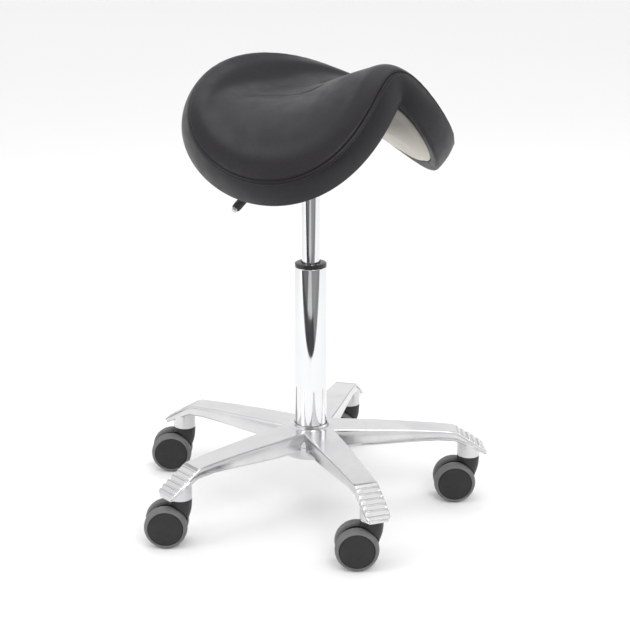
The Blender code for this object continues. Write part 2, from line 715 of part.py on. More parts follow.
def swept_round(name, section, finish, parent, from_middle=True):
    """Sweeps a section, which may change with the angle, once round the seat.

    A section that starts and ends in the middle makes a pad; one that doesn't makes a closed band. Each of its
    points comes with its place along the outline, and every four-sided patch is split from its lower place to
    its higher one, so that two neighbouring surfaces are faceted alike and stay parallel.
    """
    bm = bmesh.new()
    sections = [section(math.tau * k / SEAT_SIDES) for k in range(SEAT_SIDES)]
    places = [place for place, point in sections[0]]
    rows = [[bm.verts.new(point) for place, point in row] for row in sections]
    steps = len(places) - 1 if from_middle else len(places)
    for k, row in enumerate(rows):
        after = rows[(k + 1) % SEAT_SIDES]
        for i in range(steps):
            j = (i + 1) % len(places)
            low, high = (i, j) if places[i] < places[j] else (j, i)
            bm.faces.new((row[low], row[high], after[high]))
            bm.faces.new((row[low], after[high], after[low]))
    bmesh.ops.remove_doubles(bm, verts=bm.verts, dist=1e-5)
    return object_from(bm, name, finish, parent, smooth_deg=50.0)


def on_top(reaches, turn, depth):
    """Section points under the top surface. The one in the middle is the same for every angle."""
    return [(reach, below_top(reach, turn if reach else 0, depth)) for reach in reaches]


def on_side(shares, turn, inset):
    return [(1 + share, side_point(share, turn, inset)) for share in shares]


def on_underside(reaches, turn, height):
    return [(3 - reach, above_underside(reach, turn if reach else 0, height)) for reach in reaches]


def top_panel_section(turn):
    outer = on_top(TOP_REACHES + (1.0,), turn, 0)
    inner = on_top(TOP_REACHES + (1.0,), turn, COVER_THICKNESS)
    return outer + inner[::-1]


def side_band_section(turn):
    shares = ((COVER_THICKNESS + 2 * GAP) / band_depth(turn),) + SIDE_SHARES
    outer = on_side(shares + (1.0,), turn, 0) + on_underside((WRAP_REACH,), turn, 0)
    corner = side_point(1.0, turn, COVER_THICKNESS) + surface_normal(top_point, 1.0, turn) * COVER_THICKNESS
    inner = on_side(shares, turn, COVER_THICKNESS) + [(2.0, corner)]
    inner += on_underside((WRAP_REACH,), turn, COVER_THICKNESS)
    return outer + inner[::-1]


def foam_section(turn):
    skin = COVER_THICKNESS + GAP
    bottom_share = 1.0 - (skin + FOAM_EDGE_ROOM) / band_depth(turn)
    side = on_side(SIDE_SHARES, turn, skin + GAP) + on_side((bottom_share,), turn, skin + 2 * GAP)
    under = on_underside(UNDERSIDE_REACHES[::-1], turn, SHELL_THICKNESS + GAP)
    return on_top(TOP_REACHES, turn, skin) + side + under


def shell_section(turn):
    lower = on_underside(UNDERSIDE_REACHES, turn, 0)
    upper = on_underside(UNDERSIDE_REACHES, turn, SHELL_THICKNESS)
    return lower + upper[::-1]


def saddle(seat, finishes):
    swept_round("cover_top_panel", top_panel_section, finishes["leatherette"], seat)
    swept_round("cover_side_band", side_band_section, finishes["leatherette"], seat, from_middle=False)
    foam = swept_round("seat_foam", foam_section, finishes["foam"], seat)
    shell = swept_round("seat_shell", shell_section, finishes["shell"], seat)

    pad_x, pad_y = PLATE_HALF_X + PAD_MARGIN, PLATE_HALF_Y + PAD_MARGIN
    pad = box_bmesh((-pad_x, -pad_y, PLATE_TOP + GAP), (pad_x, pad_y, PAD_TOP))
    combine(shell, helper(pad, "mounting_pad", seat), "UNION")
    holes = bolt_holes(BOLT_RADIUS + GAP, PLATE_TOP - CUT_MARGIN, PLATE_TOP + BOLT_REACH + 0.0005)
    combine(shell, helper(merged(holes), "shell_bolt_holes", seat), "DIFFERENCE")
    hollow_x, hollow_y = pad_x + GAP, pad_y + GAP
    hollow = box_bmesh((-hollow_x, -hollow_y, SOCKET_BOTTOM), (hollow_x, hollow_y, PAD_TOP + GAP))
    combine(foam, helper(hollow, "foam_hollow", seat), "DIFFERENCE")


def main():
    clear_scene()
    finishes = {
        "aluminium": material("polished_aluminium", (0.78, 0.78, 0.79), 0.18, 1.0),
        "chrome": material("chrome", (0.82, 0.83, 0.84), 0.06, 1.0),
        "steel": material("zinc_plated_steel", (0.55, 0.56, 0.58), 0.30, 1.0),
        "black_steel": material("black_painted_steel", (0.03, 0.03, 0.03), 0.45),
        "black_plastic": material("black_plastic", (0.02, 0.02, 0.02), 0.40),
        "nylon": material("black_nylon", (0.015, 0.015, 0.016), 0.45),
        "hub_grey": material("dark_grey_hub", (0.035, 0.035, 0.036), 0.55),
        "tread": material("grey_tread", (0.14, 0.14, 0.14), 0.60),
        "rubber": material("black_rubber", (0.02, 0.02, 0.02), 0.80),
        "leatherette": material("charcoal_leatherette", (0.045, 0.042, 0.048), 0.45),
        "foam": material("seat_foam", (0.75, 0.68, 0.50), 0.90),
        "shell": material("cream_shell", (0.72, 0.68, 0.60), 0.50),
    }
    stool = empty("stool", location=(COLUMN_X, COLUMN_Y, 0))
    star_base(stool, finishes["aluminium"])
    for number in range(1, ARM_COUNT + 1):
        caster(number, stool, finishes)
    column(stool, finishes)
    seat = empty("seat", stool)
    gas_cylinder(seat, finishes)
    seat_bracket(seat, finishes)
    lever(seat, finishes)
    saddle(seat, finishes)


main()
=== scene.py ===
"""Saddle stool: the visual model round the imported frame. Metres, +Z up, the saddle's pommel towards -Y."""

import math

import bmesh
import bpy
import numpy as np
from mathutils import Matrix, Vector


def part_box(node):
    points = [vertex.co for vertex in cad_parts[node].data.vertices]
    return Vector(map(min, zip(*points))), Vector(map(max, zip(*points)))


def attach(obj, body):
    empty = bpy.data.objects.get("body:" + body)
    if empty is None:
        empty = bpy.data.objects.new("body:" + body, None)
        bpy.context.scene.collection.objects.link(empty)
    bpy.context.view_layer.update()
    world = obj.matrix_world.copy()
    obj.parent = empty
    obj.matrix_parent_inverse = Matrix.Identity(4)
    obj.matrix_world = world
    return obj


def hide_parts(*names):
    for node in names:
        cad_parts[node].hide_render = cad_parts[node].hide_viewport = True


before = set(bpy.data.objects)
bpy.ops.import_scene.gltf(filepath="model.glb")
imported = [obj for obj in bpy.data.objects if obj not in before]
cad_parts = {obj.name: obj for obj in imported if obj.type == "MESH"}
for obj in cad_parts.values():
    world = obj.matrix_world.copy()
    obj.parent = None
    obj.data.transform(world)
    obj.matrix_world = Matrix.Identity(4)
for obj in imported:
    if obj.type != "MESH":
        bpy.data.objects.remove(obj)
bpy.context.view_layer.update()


def middle_of(node):
    low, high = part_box(node)
    return (low + high) / 2


def linked(name, data):
    piece = bpy.data.objects.new(name, data)
    bpy.context.scene.collection.objects.link(piece)
    return piece


AXIS = middle_of("column_tube").to_2d().to_3d()
ARM_COUNT = 5
FIRST_ARM_DEG = -114.3
ARM_STEP_DEG = 360 / ARM_COUNT


# ---------------------------------------- camera, light and floor

# Places are measured from the column's foot.
CAMERA_PLACE = (-1.758, -1.758, 1.105)
CAMERA_LENS, SENSOR_WIDTH = 97.09, 36.0
CAMERA_HEADING_DEG, CAMERA_PITCH_DEG, CAMERA_YAW_DEG = -45, 17.75, 0.15
LIGHTS = (
    # name, place, target, width, height, power
    ("key", (-1.1, -2.2, 2.3), (0, 0, 0.45), 1.4, 1.4, 26),
    ("top", (0.2, 0.3, 2.6), (0, 0, 0.5), 1.8, 1.8, 12),
    ("left_rim", (-2.2, 0.6, 1.2), (0, 0, 0.6), 0.7, 1.6, 10),
    ("right_fill", (2.2, -1.2, 1.5), (0, 0, 0.5), 1.0, 1.4, 6),
)
ROOM_COLOUR, ROOM_STRENGTH = (0.9, 0.9, 0.9, 1), 1.15
# The room's brightness round the horizon: share of a turn, brightness. The dips are the dark flags.
ROOM_STOPS = (
    (0.10, 0.95), (0.125, 0.12), (0.150, 0.95), (0.30, 0.95), (0.335, 0.10), (0.365, 0.95),
    (0.49, 0.95), (0.525, 0.07), (0.56, 0.95), (0.74, 0.95), (0.77, 0.15), (0.80, 0.95),
)
# Where the white floor of the photographer's set ends, as the chrome shows it: name, nearest and furthest distance
# in front of the column, left and right ends, and shade. Only reflections see these cards.
REFLECTED_CARDS = (
    ("set_edge_dark", 0.84, 1.30, -2.0, 0.42, 0.012),
    ("set_edge_grey", 0.84, 1.30, 0.42, 2.0, 0.16),
    ("set_far_dark", 1.30, 5.0, -3.0, -0.55, 0.10),
    ("set_far_light", 1.30, 5.0, -0.55, 0.20, 0.45),
    ("set_far_grey", 1.30, 5.0, 0.20, 3.0, 0.20),
)
CARD_ROUGHNESS = 0.9
CARD_HEIGHT, FLOOR_HEIGHT, FLOOR_HALF = 0.0003, -0.0002, 20
# The sockets of a Mix node that is set to colours.
MIX_FACTOR, MIX_A, MIX_B, MIX_RESULT = 0, 6, 7, 2


def place_camera():
    """The photograph's view: a long lens, from in front and to the rider's right, looking down on the seat."""
    camera = linked("camera", bpy.data.cameras.new("camera"))
    camera.data.sensor_width = SENSOR_WIDTH
    camera.data.lens = CAMERA_LENS
    heading, pitch, yaw = map(math.radians, (CAMERA_HEADING_DEG, CAMERA_PITCH_DEG, CAMERA_YAW_DEG))
    camera.location = AXIS + Vector(CAMERA_PLACE)
    ahead = Vector((math.sin(yaw) * math.cos(pitch), math.cos(yaw) * math.cos(pitch), -math.sin(pitch)))
    ahead.rotate(Matrix.Rotation(heading, 3, "Z"))
    camera.rotation_euler = ahead.to_track_quat("-Z", "Y").to_euler()
    bpy.context.scene.camera = camera


def area_light(name, place, target, width, height, power):
    data = bpy.data.lights.new(name, "AREA")
    data.shape = "RECTANGLE"
    data.size, data.size_y = width, height
    data.energy = power
    light = linked(name, data)
    light.location = AXIS + Vector(place)
    light.rotation_euler = (AXIS + Vector(target) - light.location).to_track_quat("-Z", "Y").to_euler()


def room():
    """A white room with a few dark flags. The flags show as streaks in the metal, and the camera doesn't see them."""
    world = bpy.data.worlds.new("studio")
    bpy.context.scene.world = world
    world.use_nodes = True
    nodes, link = world.node_tree.nodes, world.node_tree.links.new
    background = nodes["Background"]
    where = nodes.new("ShaderNodeTexCoord")
    split = nodes.new("ShaderNodeSeparateXYZ")
    link(where.outputs["Generated"], split.inputs[0])
    heading = nodes.new("ShaderNodeMath")
    heading.operation = "ARCTAN2"
    link(split.outputs["Y"], heading.inputs[0])
    link(split.outputs["X"], heading.inputs[1])
    turn = nodes.new("ShaderNodeMapRange")
    turn.inputs["From Min"].default_value = -math.pi
    turn.inputs["From Max"].default_value = math.pi
    link(heading.outputs[0], turn.inputs["Value"])
    ramp = nodes.new("ShaderNodeValToRGB")
    link(turn.outputs[0], ramp.inputs[0])
    stops = ramp.color_ramp.elements
    for stop, place in zip(stops, (0.0, 1.0)):
        stop.position, stop.color = place, ROOM_COLOUR
    for place, value in ROOM_STOPS:
        stops.new(place).color = (value, value, value, 1)
    seen = nodes.new("ShaderNodeMix")
    seen.data_type = "RGBA"
    seen.inputs[MIX_B].default_value = ROOM_COLOUR
    link(nodes.new("ShaderNodeLightPath").outputs["Is Camera Ray"], seen.inputs[MIX_FACTOR])
    link(ramp.outputs[0], seen.inputs[MIX_A])
    link(seen.outputs[MIX_RESULT], background.inputs["Color"])
    background.inputs["Strength"].default_value = ROOM_STRENGTH


def studio():
    """The room, its lights, a pale floor, and the cards that only reflections see."""
    room()
    bpy.context.scene.view_settings.view_transform = "Standard"
    for light in LIGHTS:
        area_light(*light)

    floor_mesh = bmesh.new()
    bmesh.ops.create_grid(floor_mesh, x_segments=1, y_segments=1, size=FLOOR_HALF)
    floor = finished("floor", floor_mesh, floor_material())
    floor.location = (0, 0, FLOOR_HEIGHT)

    for name, near, far, left, right, shade in REFLECTED_CARDS:
        bm = bmesh.new()
        corners = [(left, -near), (right, -near), (right, -far), (left, -far)]
        bm.faces.new([bm.verts.new((x, y, 0)) for x, y in corners])
        card = finished(name, bm, plastic_material(name, (shade,) * 3, (shade * 1.2,) * 3, CARD_ROUGHNESS))
        card.location = AXIS + Vector((0, 0, CARD_HEIGHT))
        card.rotation_euler.z = math.radians(CAMERA_HEADING_DEG)
        card.visible_camera = card.visible_diffuse = card.visible_shadow = False


# ---------------------------------------- materials

# Painted shade on the pale shell: its colour is lighter below the first height and darker above the second, standing in
# for the shade that the saddle casts on it.
SHELL_PAINTED_SHADE_HEIGHTS = (0.555, 0.625)


class Shading:
    """A short way to write a procedural material in object coordinates."""

    def __init__(self, name, colour, roughness, metallic=0.0, **inputs):
        self.material = bpy.data.materials.new(name)
        self.material.use_nodes = True
        tree = self.material.node_tree
        self.node, self.link = tree.nodes.new, tree.links.new
        self.shader = tree.nodes["Principled BSDF"]
        self.colour = colour
        self.shader.inputs["Base Color"].default_value = (*colour, 1)
        self.shader.inputs["Roughness"].default_value = roughness
        self.shader.inputs["Metallic"].default_value = metallic
        for key, value in inputs.items():
            self.shader.inputs[key.replace("_", " ")].default_value = value
        self.material.diffuse_color = (*colour, 1)
        self.where = self.node("ShaderNodeTexCoord").outputs["Object"]
        self.normal = None

    def mapped(self, stretch):
        mapping = self.node("ShaderNodeMapping")
        mapping.inputs["Scale"].default_value = stretch
        self.link(self.where, mapping.inputs["Vector"])
        return mapping.outputs[0]

    def noise(self, scale, detail=3.0, stretch=(1, 1, 1), distortion=0.0):
        node = self.node("ShaderNodeTexNoise")
        node.inputs["Scale"].default_value = scale
        node.inputs["Detail"].default_value = detail
        node.inputs["Distortion"].default_value = distortion
        self.link(self.mapped(stretch), node.inputs["Vector"])
        return node.outputs["Fac"]

    def cells(self, scale, feature="F1", randomness=1.0):
        node = self.node("ShaderNodeTexVoronoi")
        node.feature = feature
        node.inputs["Scale"].default_value = scale
        node.inputs["Randomness"].default_value = randomness
        self.link(self.where, node.inputs["Vector"])
        return node.outputs["Distance"]

    def height(self):
        split = self.node("ShaderNodeSeparateXYZ")
        self.link(self.where, split.inputs[0])
        return split.outputs["Z"]

    def spread(self, source, low, high, start=0.3, end=0.7):
        node = self.node("ShaderNodeMapRange")
        node.inputs["From Min"].default_value = start
        node.inputs["From Max"].default_value = end
        node.inputs["To Min"].default_value = low
        node.inputs["To Max"].default_value = high
        self.link(source, node.inputs["Value"])
        return node.outputs[0]

    def tint(self, source, other, start=0.35, end=0.65):
        """The base colour drifts towards another one where the source is high."""
        mix = self.node("ShaderNodeMix")
        mix.data_type = "RGBA"
        current = self.shader.inputs["Base Color"]
        if current.is_linked:
            self.link(current.links[0].from_socket, mix.inputs[MIX_A])
        else:
            mix.inputs[MIX_A].default_value = (*self.colour, 1)
        mix.inputs[MIX_B].default_value = (*other, 1)
        self.link(self.spread(source, 0, 1, start, end), mix.inputs[MIX_FACTOR])
        self.link(mix.outputs[MIX_RESULT], current)
        return self

    def gloss(self, source, low, high, start=0.3, end=0.7):
        self.link(self.spread(source, low, high, start, end), self.shader.inputs["Roughness"])
        return self

    def bump(self, source, depth, strength=1.0):
        node = self.node("ShaderNodeBump")
        node.inputs["Strength"].default_value = strength
        node.inputs["Distance"].default_value = depth
        self.link(source, node.inputs["Height"])
        if self.normal:
            self.link(self.normal, node.inputs["Normal"])
        self.normal = node.outputs[0]
        self.link(self.normal, self.shader.inputs["Normal"])
        return self


def leatherette_material():
    """Fine pebbled grain over a soft, uneven shine."""
    s = Shading("charcoal_leatherette", (0.0085, 0.0072, 0.0100), 0.42, Specular_IOR_Level=0.27)
    s.tint(s.noise(6, 3), (0.0110, 0.0095, 0.0125))
    s.tint(s.cells(620), (0.0055, 0.0047, 0.0065), 0.45, 0.9)
    s.gloss(s.noise(38, 4), 0.36, 0.48)
    s.bump(s.cells(620), 0.00016, 0.5)
    s.bump(s.noise(260, 3, distortion=0.6), 0.00012, 0.5)
    return s.material


def thread_material():
    s = Shading("charcoal_thread", (0.014, 0.013, 0.015), 0.62, Sheen_Weight=0.15)
    s.tint(s.noise(900, 2), (0.026, 0.024, 0.027))
    s.bump(s.noise(2400, 2, stretch=(1, 1, 3)), 0.0001, 0.8)
    return s.material


def shell_material():
    s = Shading("cream_shell", (0.56, 0.53, 0.47), 0.52, Specular_IOR_Level=0.3)
    s.tint(s.noise(9, 3), (0.60, 0.57, 0.515))
    s.tint(s.noise(70, 5), (0.50, 0.47, 0.41), 0.62, 0.9)
    # Painted shade: the shell's colour darkens towards its top, where the saddle shades it.
    s.tint(s.height(), (0.21, 0.20, 0.18), *SHELL_PAINTED_SHADE_HEIGHTS)
    s.gloss(s.noise(60, 4), 0.44, 0.60)
    s.bump(s.noise(900, 2), 0.00008, 0.5)
    return s.material


def foam_material():
    s = Shading("cut_foam", (0.74, 0.66, 0.46), 0.95)
    s.tint(s.noise(40, 3), (0.66, 0.57, 0.36))
    s.bump(s.cells(700), 0.0005, 0.8)
    return s.material


def aluminium_material():
    s = Shading("polished_aluminium", (0.66, 0.66, 0.665), 0.2, 1.0)
    s.tint(s.noise(14, 3), (0.60, 0.60, 0.61))
    s.gloss(s.noise(55, 5, distortion=0.4), 0.14, 0.26)
    s.bump(s.noise(28, 2), 0.00035, 0.35)
    s.bump(s.noise(1300, 2, stretch=(1, 1, 0.2)), 0.00002, 0.4)
    return s.material


def chrome_material():
    s = Shading("bright_chrome", (0.78, 0.785, 0.79), 0.05, 1.0)
    s.tint(s.noise(9, 2), (0.74, 0.745, 0.755))
    s.gloss(s.noise(70, 6, stretch=(1, 1, 0.25)), 0.03, 0.10)
    s.bump(s.noise(1800, 2, stretch=(1, 1, 0.05)), 0.000008, 0.4)
    return s.material


def steel_material():
    s = Shading("zinc_plated_steel", (0.58, 0.59, 0.61), 0.3, 1.0)
    s.tint(s.noise(80, 4), (0.48, 0.50, 0.53))
    s.gloss(s.noise(150, 4), 0.24, 0.42)
    s.bump(s.noise(1500, 3), 0.00003, 0.6)
    return s.material


def painted_material():
    s = Shading("black_powder_coat", (0.022, 0.022, 0.023), 0.5)
    s.tint(s.noise(60, 3), (0.032, 0.032, 0.033))
    s.gloss(s.noise(200, 3), 0.42, 0.58)
    s.bump(s.noise(1100, 2), 0.00012, 0.6)
    return s.material


def plastic_material(name, colour, lighter, roughness=0.42, grain=1400):
    s = Shading(name, colour, roughness, Specular_IOR_Level=0.45)
    s.tint(s.noise(45, 4), lighter)
    s.gloss(s.noise(120, 4), roughness - 0.05, roughness + 0.10)
    s.bump(s.noise(grain, 2), 0.00006, 0.6)
    return s.material


def tread_material():
    s = Shading("grey_tread", (0.120, 0.120, 0.122), 0.6, Specular_IOR_Level=0.35)
    s.tint(s.noise(50, 4), (0.140, 0.140, 0.141))
    s.tint(s.noise(260, 5), (0.135, 0.133, 0.129), 0.60, 0.85)
    s.gloss(s.noise(140, 4), 0.50, 0.68)
    s.bump(s.noise(800, 3), 0.00010, 0.6)
    return s.material


def floor_material():
    s = Shading("pale_floor", (0.93, 0.93, 0.93), 0.5, Specular_IOR_Level=0.0)
    s.tint(s.noise(0.8, 1), (0.925, 0.925, 0.925))
    s.gloss(s.noise(2, 1), 0.45, 0.55)
    return s.material


# ---------------------------------------- making pieces

ON_AXIS, MERGE_DISTANCE, SECTOR_MERGE, TINY_EDGE = 1e-7, 1e-7, 1e-6, 1e-8
BEVEL_ABOVE_DEG = 32
# A rounded corner takes at most just under half of each side beside it.
SIDES_TO_CORNER = 2.02


def finished(name, bm, material, smooth_deg=38.0):
    bmesh.ops.recalc_face_normals(bm, faces=bm.faces)
    mesh = bpy.data.meshes.new(name)
    bm.to_mesh(mesh)
    bm.free()
    mesh.shade_smooth()
    mesh.set_sharp_from_angle(angle=math.radians(smooth_deg))
    mesh.materials.append(material)
    return linked(name, mesh)


def stands_for(piece, body, slot, *nodes):
    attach(piece, body)
    if nodes:
        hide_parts(*nodes)
    return piece


def rounded(profile, steps=5):
    """Replaces each (x, y, radius) corner of a closed outline by an arc."""
    points = []
    for i, (x, y, *radius) in enumerate(profile):
        here = Vector((x, y))
        before = Vector(profile[i - 1][:2]) - here
        after = Vector(profile[(i + 1) % len(profile)][:2]) - here
        reach = radius[0] if radius else 0
        if not reach:
            points.append((x, y))
            continue
        a = here + before.normalized() * min(reach, before.length / SIDES_TO_CORNER)
        b = here + after.normalized() * min(reach, after.length / SIDES_TO_CORNER)
        for k in range(steps + 1):
            s = k / steps
            p = a * (1 - s) ** 2 + here * 2 * s * (1 - s) + b * s**2
            points.append((p.x, p.y))
    return points


def turned(profile, segments=72):
    """Spins a closed outline of (radius, height) points about +Z."""
    bm = bmesh.new()
    count = len(profile)
    rows = []
    for k in range(segments):
        a = math.tau * k / segments
        rows.append([bm.verts.new((r * math.cos(a), r * math.sin(a), z)) for r, z in profile])
    for k in range(segments):
        row, after = rows[k], rows[(k + 1) % segments]
        for i in range(count):
            j = (i + 1) % count
            if profile[i][0] < ON_AXIS and profile[j][0] < ON_AXIS:
                continue
            bm.faces.new((row[i], row[j], after[j], after[i]))
    bmesh.ops.remove_doubles(bm, verts=bm.verts, dist=MERGE_DISTANCE)
    bmesh.ops.dissolve_degenerate(bm, edges=bm.edges, dist=TINY_EDGE)
    return bm


def joined(bm, rows, gaps):
    """Quads between each row of vertices and the next, over this many gaps of a row."""
    for low, high in zip(rows, rows[1:]):
        for i in range(gaps):
            j = (i + 1) % len(low)
            bm.faces.new((low[i], low[j], high[j], high[i]))


def lofted(rows):
    """Closed rows of points, joined and closed at both ends."""
    bm = bmesh.new()
    made = [[bm.verts.new(p) for p in row] for row in rows]
    joined(bm, made, len(made[0]))
    bm.faces.new(made[0])
    bm.faces.new(made[-1])
    return bm


def solid(name, points, faces, material, smooth_deg=38.0):
    mesh = bpy.data.meshes.new(name)
    mesh.from_pydata([tuple(p) for p in points], [], faces)
    bm = bmesh.new()
    bm.from_mesh(mesh)
    bpy.data.meshes.remove(mesh)
    return finished(name, bm, material, smooth_deg)


def closed_pad(outer, inner):
    """Two square grids of points, one over the other, joined round their border."""
    n = outer.shape[0]
    points = np.concatenate([outer.reshape(-1, 3), inner.reshape(-1, 3)])
    offset = n * n
    faces = []
    for i in range(n - 1):
        for j in range(n - 1):
            a, b, c, d = i * n + j, (i + 1) * n + j, (i + 1) * n + j + 1, i * n + j + 1
            faces += [(a, b, c, d), (a + offset, d + offset, c + offset, b + offset)]
    border = [(i, 0) for i in range(n - 1)] + [(n - 1, j) for j in range(n - 1)]
    border += [(i, n - 1) for i in range(n - 1, 0, -1)] + [(0, j) for j in range(n - 1, 0, -1)]
    ring = [i * n + j for i, j in border]
    for a, b in zip(ring, ring[1:] + ring[:1]):
        faces.append((a, a + offset, b + offset, b))
    return points, faces


def closed_ring(sections):
    """Closed sections, one for each angle, joined into a ring."""
    count, size = sections.shape[:2]
    faces = []
    for k in range(count):
        after = (k + 1) % count
        for i in range(size):
            j = (i + 1) % size
            faces.append((k * size + i, k * size + j, after * size + j, after * size + i))
    return sections.reshape(-1, 3), faces


def applied(target, others):
    """Joins or cuts the other shapes, keeps the result as the target's own mesh, and removes the others."""
    for other, operation in others:
        modifier = target.modifiers.new(other.name, "BOOLEAN")
        modifier.operation, modifier.solver, modifier.object = operation, "EXACT", other
    bpy.context.view_layer.update()
    graph = bpy.context.evaluated_depsgraph_get()
    mesh = bpy.data.meshes.new_from_object(target.evaluated_get(graph))
    target.modifiers.clear()
    target.data = mesh
    for other, _ in others:
        bpy.data.objects.remove(other, do_unlink=True)
    return target


def bevelled(piece, width):
    modifier = piece.modifiers.new("edges", "BEVEL")
    modifier.width, modifier.segments = width, 2
    modifier.limit_method, modifier.angle_limit = "ANGLE", math.radians(BEVEL_ABOVE_DEG)


def smoothed(piece, sharp_deg):
    piece.data.shade_smooth()
    piece.data.set_sharp_from_angle(angle=math.radians(sharp_deg))


def placed(piece):
    piece.location = AXIS
    return piece


def block(low, high):
    bm = bmesh.new()
    bmesh.ops.create_cube(bm, size=1.0)
    low, high = Vector(low), Vector(high)
    bmesh.ops.scale(bm, vec=high - low, verts=bm.verts)
    bmesh.ops.translate(bm, vec=(low + high) / 2, verts=bm.verts)
    return bm


# ---------------------------------------- saddle

# The constants down to SEAM_EASING describe the same surfaces as the CAD's.
RIM_CENTRE, RIM_LENGTH, RIM_FRONT_TAPER, RIM_SQUARENESS = 0.0624, 0.1613, -0.0402, -0.0079
RIM_WIDTH, RIM_REAR_FLARE, RIM_SIDE_FULLNESS = 0.1956, -0.0497, 0.0021
RIM_HEIGHT, RIM_PITCH, RIM_DROP = 0.6335, 0.0059, 0.0669
DISH_HEIGHT, DISH_CENTRE, DISH_POWER = 0.6551, -0.0532, 3.13
POMMEL_CROWN, THIGH_CROWN = 0.0157, 0.0113
BAND_DEPTH, BAND_DEPTH_REAR, BAND_BULGE, BAND_FLARE = 0.0526, 0.0074, 0.0034, 0.0139
UNDERSIDE_HEIGHT, UNDERSIDE_CENTRE_Y, UNDERSIDE_POWER = 0.6185, 0.0100, 3.0
SEAM_EASING = 0.30
# The photographed rear rim stands a little higher than the CAD one.
REAR_LIFT = 0.0050
STEP, SEAM_STEP, SMALLEST_REACH, JUST_INSIDE = 1e-4, 0.01, 0.02, 0.9
SEAM_TURNS, SEAM_SAMPLES = 600, 4001
TOP_GRID, FOAM_GRID, SHELL_GRID, GRID_SQUEEZE = 240, 60, 110, 1.4

# How the sewn seam draws the cover in: depth and spread of the tight part, the soft part and the gathers.
SEAM_TIGHT, SEAM_SOFT, SEAM_GATHER = (0.0027, 0.0019), (0.0017, 0.0100), (0.00022, 0.0080)
# The gathers are three waves along the seam: count, shift, share.
GATHER_WAVES = ((71, 0.0, 0.5), (113, 1.3, 0.3), (47, 2.1, 0.4))
DRAWN_SHARE = 0.7
# The padding's fullness inside the seam: height, distance from the seam, spread.
SWELL = (0.0040, 0.030, 0.021)
# The crease: its path on the rider's right in plan, then depth and spread of its fold and of the hollow beside it.
CREASE = ((-0.105, 0.042), (-0.088, 0.046), (-0.070, 0.043), (-0.054, 0.028), (-0.043, 0.009), (-0.034, -0.012),
          (-0.026, -0.026), (-0.016, -0.037), (-0.006, -0.046))
CREASE_FOLD, CREASE_HOLLOW = (0.0013, 0.0022), (0.0010, 0.0110)
CREASE_SAMPLES, CREASE_SMOOTHING, CREASE_START, CREASE_END = 200, 30, 0.3, 0.12

COVER_THICKNESS = 0.0016
# The band: where it leaves its flat side, the corner it rounds, and where it ends under the saddle.
BAND_ROWS, BAND_SPACING, BAND_STRAIGHT, BAND_CORNER = 34, 1.25, 0.91, 1.03
BAND_TURN_STEPS, BAND_UNDER, BAND_HEM, BAND_EDGE, BAND_TUCK = 12, 0.968, 0.950, 0.943, 0.0016
BAND_FACE_ROW = 8
FOAM_REACH, FOAM_BELOW_REACH, FOAM_DEPTH, FOAM_HEIGHT = 0.972, 0.95, 0.0034, 0.0066
SHELL_REACH, SHELL_THICKNESS, SHELL_CLEARANCE = 0.938, 0.0052, 0.0002
SHELL_LIP = (0.0016, 0.02)
# How far the shell stands proud: depth, the reach where it starts, the reach that it takes, and its rounded edge.
SHELL_PROUD = (0.0066, 0.42, 0.25, 0.022)
PAD_LOW, PAD_HIGH, PAD_ROUNDING = (-0.0420, -0.0470, 0.6133), (0.0420, 0.0470, 0.6225), 0.0022
STITCH_PITCH, STITCH_LENGTH, STITCH_RADIUS, STITCH_DROP = 0.0044, 0.0034, 0.00038, 0.0052
STITCH_SAMPLES, STITCH_SIDES, STITCH_RINGS = 2400, 8, 6
STITCH_ENDS, STITCH_THIN, STITCH_RISE, STITCH_SINK = 0.12, 0.45, 0.00045, 0.00012


def top(reach, turn):
    """The seat's top surface, from its dish (reach 0) to the seam (reach 1), about the column axis."""
    cos1 = np.cos(turn)
    forward = RIM_CENTRE + RIM_LENGTH * cos1 + RIM_FRONT_TAPER * np.cos(2 * turn) + RIM_SQUARENESS * np.cos(3 * turn)
    sideways = RIM_WIDTH * np.sin(turn) + RIM_REAR_FLARE * np.sin(2 * turn) + RIM_SIDE_FULLNESS * np.sin(3 * turn)
    height = DISH_HEIGHT + RIM_PITCH * cos1 * reach + RIM_DROP * np.cos(2 * turn) * reach**2
    height = height + (RIM_HEIGHT - DISH_HEIGHT) * reach**DISH_POWER
    crown = POMMEL_CROWN * ((1 + cos1) / 2) ** 2 + THIGH_CROWN * np.sin(turn) ** 2
    height = height + 4 * reach**2 * (1 - reach**2) * crown + REAR_LIFT * ((1 - cos1) / 2) ** 2 * reach**2
    return np.stack([sideways * reach, -(DISH_CENTRE + (forward - DISH_CENTRE) * reach), height], -1)


def unit(v):
    return v / np.linalg.norm(v, axis=-1, keepdims=True)


def upward(surface, reach, turn):
    reach = np.maximum(reach, SMALLEST_REACH)
    outwards = surface(reach + STEP, turn) - surface(reach - STEP, turn)
    around = surface(reach, turn + STEP) - surface(reach, turn - STEP)
    normal = unit(np.cross(outwards, around))
    return normal * np.where(normal[..., 2:] > 0, 1.0, -1.0)


def seam_frame(turn):
    """The seam's points, with their outward and upward directions."""
    one = np.ones_like(turn)
    normal = unit(sum(upward(top, one, turn + shift) for shift in (-SEAM_EASING, 0, SEAM_EASING)))
    along = top(one, turn + SEAM_STEP) - top(one, turn - SEAM_STEP)
    outward = unit(np.cross(along, normal))
    inside = np.sum(outward * (top(one, turn) - top(JUST_INSIDE * one, turn)), -1, keepdims=True) < 0
    return top(one, turn), np.where(inside, -outward, outward), normal


def side(share, turn):
    """The side band's outer face, from the seam (share 0) to its lower edge (share 1)."""
    seam, outward, normal = seam_frame(turn)
    depth = (BAND_DEPTH - BAND_DEPTH_REAR * np.cos(turn))[..., None]
    share = share[..., None]
    return seam + outward * (4 * BAND_BULGE * share * (1 - share) + BAND_FLARE * share) - normal * depth * share


